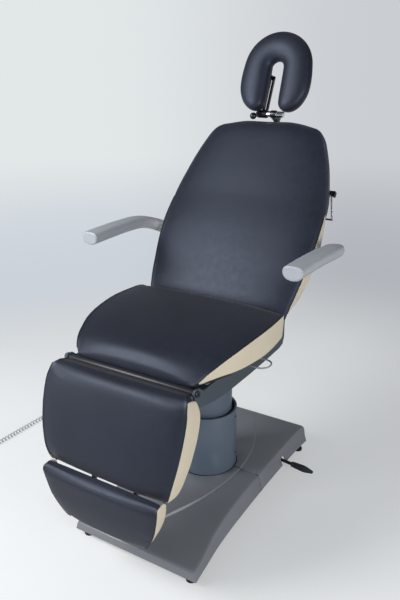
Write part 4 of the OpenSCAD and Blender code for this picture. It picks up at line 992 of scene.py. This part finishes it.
@dataclass
class MainsLead:
    """Curly mains lead on the floor, with its plug."""

    diameter: float = 6 * MM
    curl_diameter: float = 20 * MM
    pitch: float = 17.5 * MM
    curls_from: float = 452 * MM
    straight_end: float = 112 * MM
    steps: int = 16
    tail_steps: int = 40
    end_steps: int = 14
    route_mm: tuple[tuple[float, float, float], ...] = (
        (-302, 300, 76), (-309, 300, 76), (-330, 301, 72), (-354, 304, 57), (-378, 308, 36), (-402, 313, 17),
        (-428, 318, 7), (-460, 323, 4), (-520, 328, 3.3), (-590, 330, 3.3), (-640, 329, 3.6), (-676, 327, 5.5),
        (-704, 324, 8.5), (-732, 320, 10.3), (-790, 312, 10.3), (-840, 303, 10.3), (-884, 283, 10.3),
        (-921, 252, 10.3), (-948, 212, 10.3), (-964, 166, 10.3), (-974, 120, 10.3), (-982, 68, 10.3),
        (-989, 14, 10.3), (-995, -60, 10.3), (-1000, -130, 10.3), (-1004, -195, 10.3), (-1008, -255, 10.3),
        (-1011, -300, 10.3), (-1013, -330, 11), (-1015, -352, 13), (-1017, -372, 15.5), (-1018, -386, 17.2),
        (-1018, -394, 17.2), (-1018, -402, 17.2))
    plug_radius: float = 17 * MM
    plug_length: float = 34 * MM
    relief_length: float = 26 * MM
    prong_radius: float = 2.4 * MM
    prong_length: float = 19 * MM
    prong_gap: float = 19 * MM

    def __post_init__(self) -> None:
        """Work out the length along the route at each of its points."""
        self.route = [Vector(p) * MM for p in self.route_mm]
        self.runs = [0.0]
        for a, b in zip(self.route, self.route[1:]):
            self.runs.append(self.runs[-1] + (b - a).length)
        self.run = self.runs[-1]
        self.curls = int((self.run - self.straight_end - self.curls_from) / self.pitch)
        self.curls_to = self.curls_from + self.curls * self.pitch

    def on_route(self, d: float) -> Vector:
        """Point of the route.

        Args:
            d: Length along the route in metres.

        Returns:
            The point, on a smooth run through the route's points.
        """
        last = len(self.route) - 1
        i = max(k for k in range(last) if self.runs[k] <= max(0.0, d))
        t = (d - self.runs[i]) / (self.runs[i + 1] - self.runs[i])
        a, b, c, e = (self.route[min(max(k, 0), last)] for k in (i - 1, i, i + 1, i + 2))
        return b + t / 2 * ((c - a) + t * ((2 * a - 5 * b + 4 * c - e) + t * (3 * b - 3 * c + e - a)))

    def point(self, d: float) -> Vector:
        """Point of the lead's own centre line.

        Args:
            d: Length along the route in metres.

        Returns:
            The point, out on its curl where the lead is curly.
        """
        step = self.pitch / 16
        ahead = self.on_route(min(self.run, d + step)) - self.on_route(max(0.0, d - step))
        t = Vector((ahead.x, ahead.y, 0)).normalized()
        share = max(0.0, min(1.0, (d - self.curls_from) / self.pitch, (self.curls_to - d) / self.pitch))
        turns = max(0.0, min(self.curls, (d - self.curls_from) / self.pitch))
        angle = math.radians(90) + math.tau * turns
        swing = Vector((-t.y * math.cos(angle), t.x * math.cos(angle), math.sin(angle)))
        return self.on_route(d) + swing * share * (self.curl_diameter - self.diameter) / 2

    def build(self, shop: Shop) -> None:
        """Make the lead and its plug.

        Args:
            shop: The shop that makes the pieces.
        """
        plug = self.plug(shop)
        tail = [self.curls_from * i / self.tail_steps for i in range(self.tail_steps)]
        curly = [self.curls_from + self.pitch * i / self.steps for i in range(self.curls * self.steps + 1)]
        end = [self.curls_to + (self.run - self.curls_to) * i / self.end_steps for i in range(1, self.end_steps + 1)]
        points = [self.point(d) for d in tail + curly + end]
        length = sum((b - a).length for a, b in zip(points, points[1:]))
        made = swept("mains_lead_curly", points, self.diameter / 2, 3)
        bpy.context.scene.collection.objects.link(made)
        made.data.materials.append(shop.materials[Slot.CABLE])
        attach(made, shop.body_of["mains_lead"])
        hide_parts("mains_lead")
        log.info("mains lead: %d curls, %.2f m of cable", self.curls, length)

    def plug(self, shop: Shop) -> bpy.types.Object:
        """Make the moulded plug with its two pins.

        Args:
            shop: The shop that makes the pieces.

        Returns:
            The plug.
        """
        r, start, length = self.plug_radius, self.relief_length, self.plug_length
        profile = [(0, 0), (4.2 * MM, 0)]
        for i in range(4):
            a, b = 4.6 * MM + i * 1.2 * MM, (2 + i * 5.4) * MM
            profile += [(a, b), (a, b + 3.2 * MM), (a - 1 * MM, b + 3.6 * MM), (a - 1 * MM, b + 5 * MM)]
        profile += [(r * 0.62, start - 1.5 * MM), (r * 0.8, start), (r * 0.93, start + 3 * MM),
                    (r * 0.9, start + 12 * MM), (r * 0.96, start + 22 * MM), (r, start + 24 * MM),
                    (r, start + length - 1 * MM), (r - 1 * MM, start + length), (0, start + length)]
        bm = turned(profile, Vector((0, 0, 0)), Vector((0, 0, 1)), 40)
        for side in Side:
            out = bmesh.ops.create_cone(bm, cap_ends=True, segments=20, radius1=self.prong_radius,
                                        radius2=self.prong_radius, depth=self.prong_length)
            tip = [e for v in out["verts"] if v.co.z > 0 for e in v.link_edges if all(w.co.z > 0 for w in e.verts)]
            moved = list(out["verts"])
            rounded = bmesh.ops.bevel(bm, geom=list(set(tip)), offset=1.2 * MM, segments=3, profile=0.5,
                                      affect="EDGES", material=-1)
            moved = [v for v in set(moved) | set(rounded["verts"]) if v.is_valid]
            shift = Vector((side.value * self.prong_gap / 2, 0, start + length + self.prong_length / 2))
            bmesh.ops.translate(bm, verts=moved, vec=shift)
        turn = Vector((0, 0, 1)).rotation_difference(Vector((0, -1, 0))).to_matrix().to_4x4()
        bmesh.ops.transform(bm, matrix=Matrix.Translation(self.route[-1]) @ turn, verts=bm.verts)
        made = shop.from_bmesh("mains_plug_moulded", bm, Slot.BLACK_PLASTIC, shop.body_of["mains_plug"], 35)
        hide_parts("mains_plug")
        return made


@dataclass
class Carried:
    """CAD nodes that stay as they are, with finishes and softened edges."""

    plain: float = 0.8 * MM
    wide: float = 1.6 * MM
    crease: float = 34.0
    wide_nodes: tuple[str, ...] = ("base_cover_front", "base_cover_rear", "column_collar", "seat_frame")
    sharp_nodes: tuple[str, ...] = ("back_cover", "leg_shell")

    def build(self, shop: Shop) -> None:
        """Dress every CAD node that is still shown.

        Args:
            shop: The shop that makes the pieces.
        """
        for node, made in frame["nodes"].items():
            if made.hide_render:
                continue
            bevel = self.wide if node in self.wide_nodes else 0 if node in self.sharp_nodes else self.plain
            shop.dress(node, bevel, self.crease)
        log.info("dressed the CAD nodes that stay")


@dataclass
class Studio:
    """Pale floor and backdrop, soft lamps and the camera."""

    # Backdrop tones, the bend tone nearer the chair and the backdrop tone further out; the right-hand ones are
    # painted shade, darker than the left.
    backdrop: Colour = (226, 231, 232)
    backdrop_shaded_right: Colour = (202, 205, 210)
    bend: Colour = (203, 210, 218)
    bend_shaded_right: Colour = (177, 180, 186)
    floor: Colour = (214, 216, 217)
    near: float = 1.3
    far: float = 3.2
    glow: float = 0.55
    camera_place: tuple[float, float, float] = (1.2113, -2.0075, 1.7594)
    azimuth: float = 31.7
    elevation: float = 21.2
    roll: float = -0.6
    focal_pixels: float = 649.9
    long_side: float = 600.0
    sensor: float = 36.0
    standoff: float = 2.34
    sides: tuple[float, float] = (-0.16, 0.26)
    distance: tuple[float, float] = (5.0, 12.0)
    floor_radius: float = 40.0
    dim: tuple[float, float, float, float] = (0.86, 0.93, 1, 1)
    dim_strength: float = 0.14

    def build(self) -> None:
        """Make the floor, the world, the lamps and the camera."""
        self.camera()
        self.ground()
        self.world()
        self.lamp("key", (-1.9, -2.5, 3.1), (0, 0, 1.1), 1.7, 108)
        self.lamp("fill", (3.6, -1.6, 1.3), (0, 0, 0.7), 1.4, 62)
        self.lamp("front", (-2.6, -3.2, 1.6), (0, 0, 0.9), 1.4, 22)
        bpy.context.scene.view_settings.view_transform = "Standard"

    def camera(self) -> None:
        """Make the camera of the photograph."""
        a, e, r = (math.radians(d) for d in (self.azimuth, self.elevation, self.roll))
        ahead = Vector((-math.sin(a) * math.cos(e), math.cos(a) * math.cos(e), -math.sin(e)))
        level = Vector((math.cos(a), math.sin(a), 0))
        up = level.cross(ahead)
        right = level * math.cos(r) + up * math.sin(r)
        top = up * math.cos(r) - level * math.sin(r)
        data = bpy.data.cameras.new("camera")
        data.sensor_width = self.sensor
        data.lens = self.focal_pixels * self.sensor / self.long_side
        made = bpy.data.objects.new("camera", data)
        made.matrix_world = Matrix.Translation(self.camera_place) @ Matrix((right, top, -ahead)).transposed().to_4x4()
        bpy.context.scene.collection.objects.link(made)
        bpy.context.scene.camera = made

    def ground(self) -> None:
        """Make the floor, which turns into the backdrop's colour further out and darkens towards the right with
        painted shade.
        """
        bm = bmesh.new()
        bmesh.ops.create_circle(bm, cap_ends=True, segments=64, radius=self.floor_radius)
        mesh = bpy.data.meshes.new("floor")
        bm.to_mesh(mesh)
        bm.free()
        made = bpy.data.objects.new("floor", mesh)
        bpy.context.scene.collection.objects.link(made)
        g = Graph("studio_floor")
        seen = self.seen(g, ("Is Camera Ray", "Is Glossy Ray", "Is Transmission Ray"))
        looked_at = self.seen(g, ("Is Camera Ray", "Is Transmission Ray"))
        reach = g.node("ShaderNodeVectorMath", {0: g.place()}, out=1, operation="LENGTH")
        depth = reach + self.standoff
        # Painted shade: the far floor's colour darkens towards the right of the view.
        across = g.node("ShaderNodeVectorMath", {0: g.place(), 1: self.rightwards()}, out=1, operation="DOT_PRODUCT")
        side = (across * depth ** -1).between(*self.sides)
        far = depth.between(*self.distance)
        left = g.blend(far, self.bend, self.backdrop)
        right = g.blend(far, self.bend_shaded_right, self.backdrop_shaded_right)
        shown = g.node("ShaderNodeMix", {0: side, 6: left, 7: right}, out=2, data_type="RGBA")
        share = reach.between(self.near, self.far)
        glow = g.node("ShaderNodeEmission", {"Color": shown, "Strength": seen})
        lit = g.finish({"Base Color": g.blend(g.noise(3, 2), self.floor, tuple(c - 3 for c in self.floor)),
                        "Emission Strength": looked_at * self.glow}, Roughness=0.85, Specular_IOR_Level=0.1)
        g.shader.inputs["Emission Color"].default_value = linear(self.floor)
        mixed = g.node("ShaderNodeMixShader", {0: share, 1: Sock(g, g.shader.outputs[0]), 2: glow})
        g.links.new(mixed.out, g.output.inputs[0])
        mesh.materials.append(lit)

    def rightwards(self) -> Vector:
        """Level direction to the right of the view."""
        a = math.radians(self.azimuth)
        return Vector((math.cos(a), math.sin(a), 0))

    def seen(self, g: Graph, kinds: Sequence[str]) -> Sock:
        """Share of rays that show the backdrop.

        Args:
            g: The graph that asks.
            kinds: Names of the kinds of ray that show it.

        Returns:
            1 for such a ray, else 0.
        """
        path = g.nodes.new("ShaderNodeLightPath")
        rays = [Sock(g, path.outputs[kind]) for kind in kinds]
        return sum(rays[1:], rays[0]).between(0, 1)

    def world(self) -> None:
        """Make the world, pale where it shows, darkening towards the right with painted shade, and dimmer where it
        lights.
        """
        world = bpy.data.worlds.new("studio")
        bpy.context.scene.world = world
        world.use_nodes = True
        nodes, links = world.node_tree.nodes, world.node_tree.links
        nodes.clear()
        path = nodes.new("ShaderNodeLightPath")
        total = nodes.new("ShaderNodeMath")
        total.operation = "ADD"
        total.use_clamp = True
        links.new(path.outputs["Is Camera Ray"], total.inputs[0])
        links.new(path.outputs["Is Transmission Ray"], total.inputs[1])
        shown = nodes.new("ShaderNodeBackground")
        place = nodes.new("ShaderNodeTexCoord")
        across = nodes.new("ShaderNodeVectorMath")
        across.operation = "DOT_PRODUCT"
        across.inputs[1].default_value = self.rightwards()
        side = nodes.new("ShaderNodeMapRange")
        side.interpolation_type = "SMOOTHSTEP"
        side.inputs[1].default_value, side.inputs[2].default_value = self.sides
        # Painted shade: the backdrop that the camera sees darkens towards the right of the view.
        colour = nodes.new("ShaderNodeMix")
        colour.data_type = "RGBA"
        colour.inputs[6].default_value = linear(self.backdrop)
        colour.inputs[7].default_value = linear(self.backdrop_shaded_right)
        links.new(place.outputs["Generated"], across.inputs[0])
        links.new(across.outputs["Value"], side.inputs[0])
        links.new(side.outputs[0], colour.inputs[0])
        links.new(colour.outputs[2], shown.inputs[0])
        lights = nodes.new("ShaderNodeBackground")
        lights.inputs[0].default_value = self.dim
        lights.inputs[1].default_value = self.dim_strength
        mix = nodes.new("ShaderNodeMixShader")
        out = nodes.new("ShaderNodeOutputWorld")
        links.new(total.outputs[0], mix.inputs[0])
        links.new(lights.outputs[0], mix.inputs[1])
        links.new(shown.outputs[0], mix.inputs[2])
        links.new(mix.outputs[0], out.inputs[0])

    def lamp(self, name: str, place: Sequence[float], aim: Sequence[float], size: float, power: float) -> None:
        """Make a soft square lamp.

        Args:
            name: Name of the lamp.
            place: Where it stands.
            aim: Point that it faces.
            size: Length of its side in metres.
            power: Power in watts.
        """
        data = bpy.data.lights.new(name, "AREA")
        data.size = size
        data.energy = power
        made = bpy.data.objects.new(name, data)
        toward = Vector(aim) - Vector(place)
        made.matrix_world = Matrix.Translation(place) @ toward.to_track_quat("-Z", "Y").to_matrix().to_4x4()
        bpy.context.scene.collection.objects.link(made)


def main() -> None:
    """Build the studio and the chair's sub-assemblies in order."""
    logging.basicConfig(level=logging.INFO, format="%(message)s")
    Studio().build()
    shop = Shop()
    for assembly in (MainsLead(), Base(), Pads(), Armrests(), Carried()):
        assembly.build(shop)


if __name__ == "__main__":
    main()
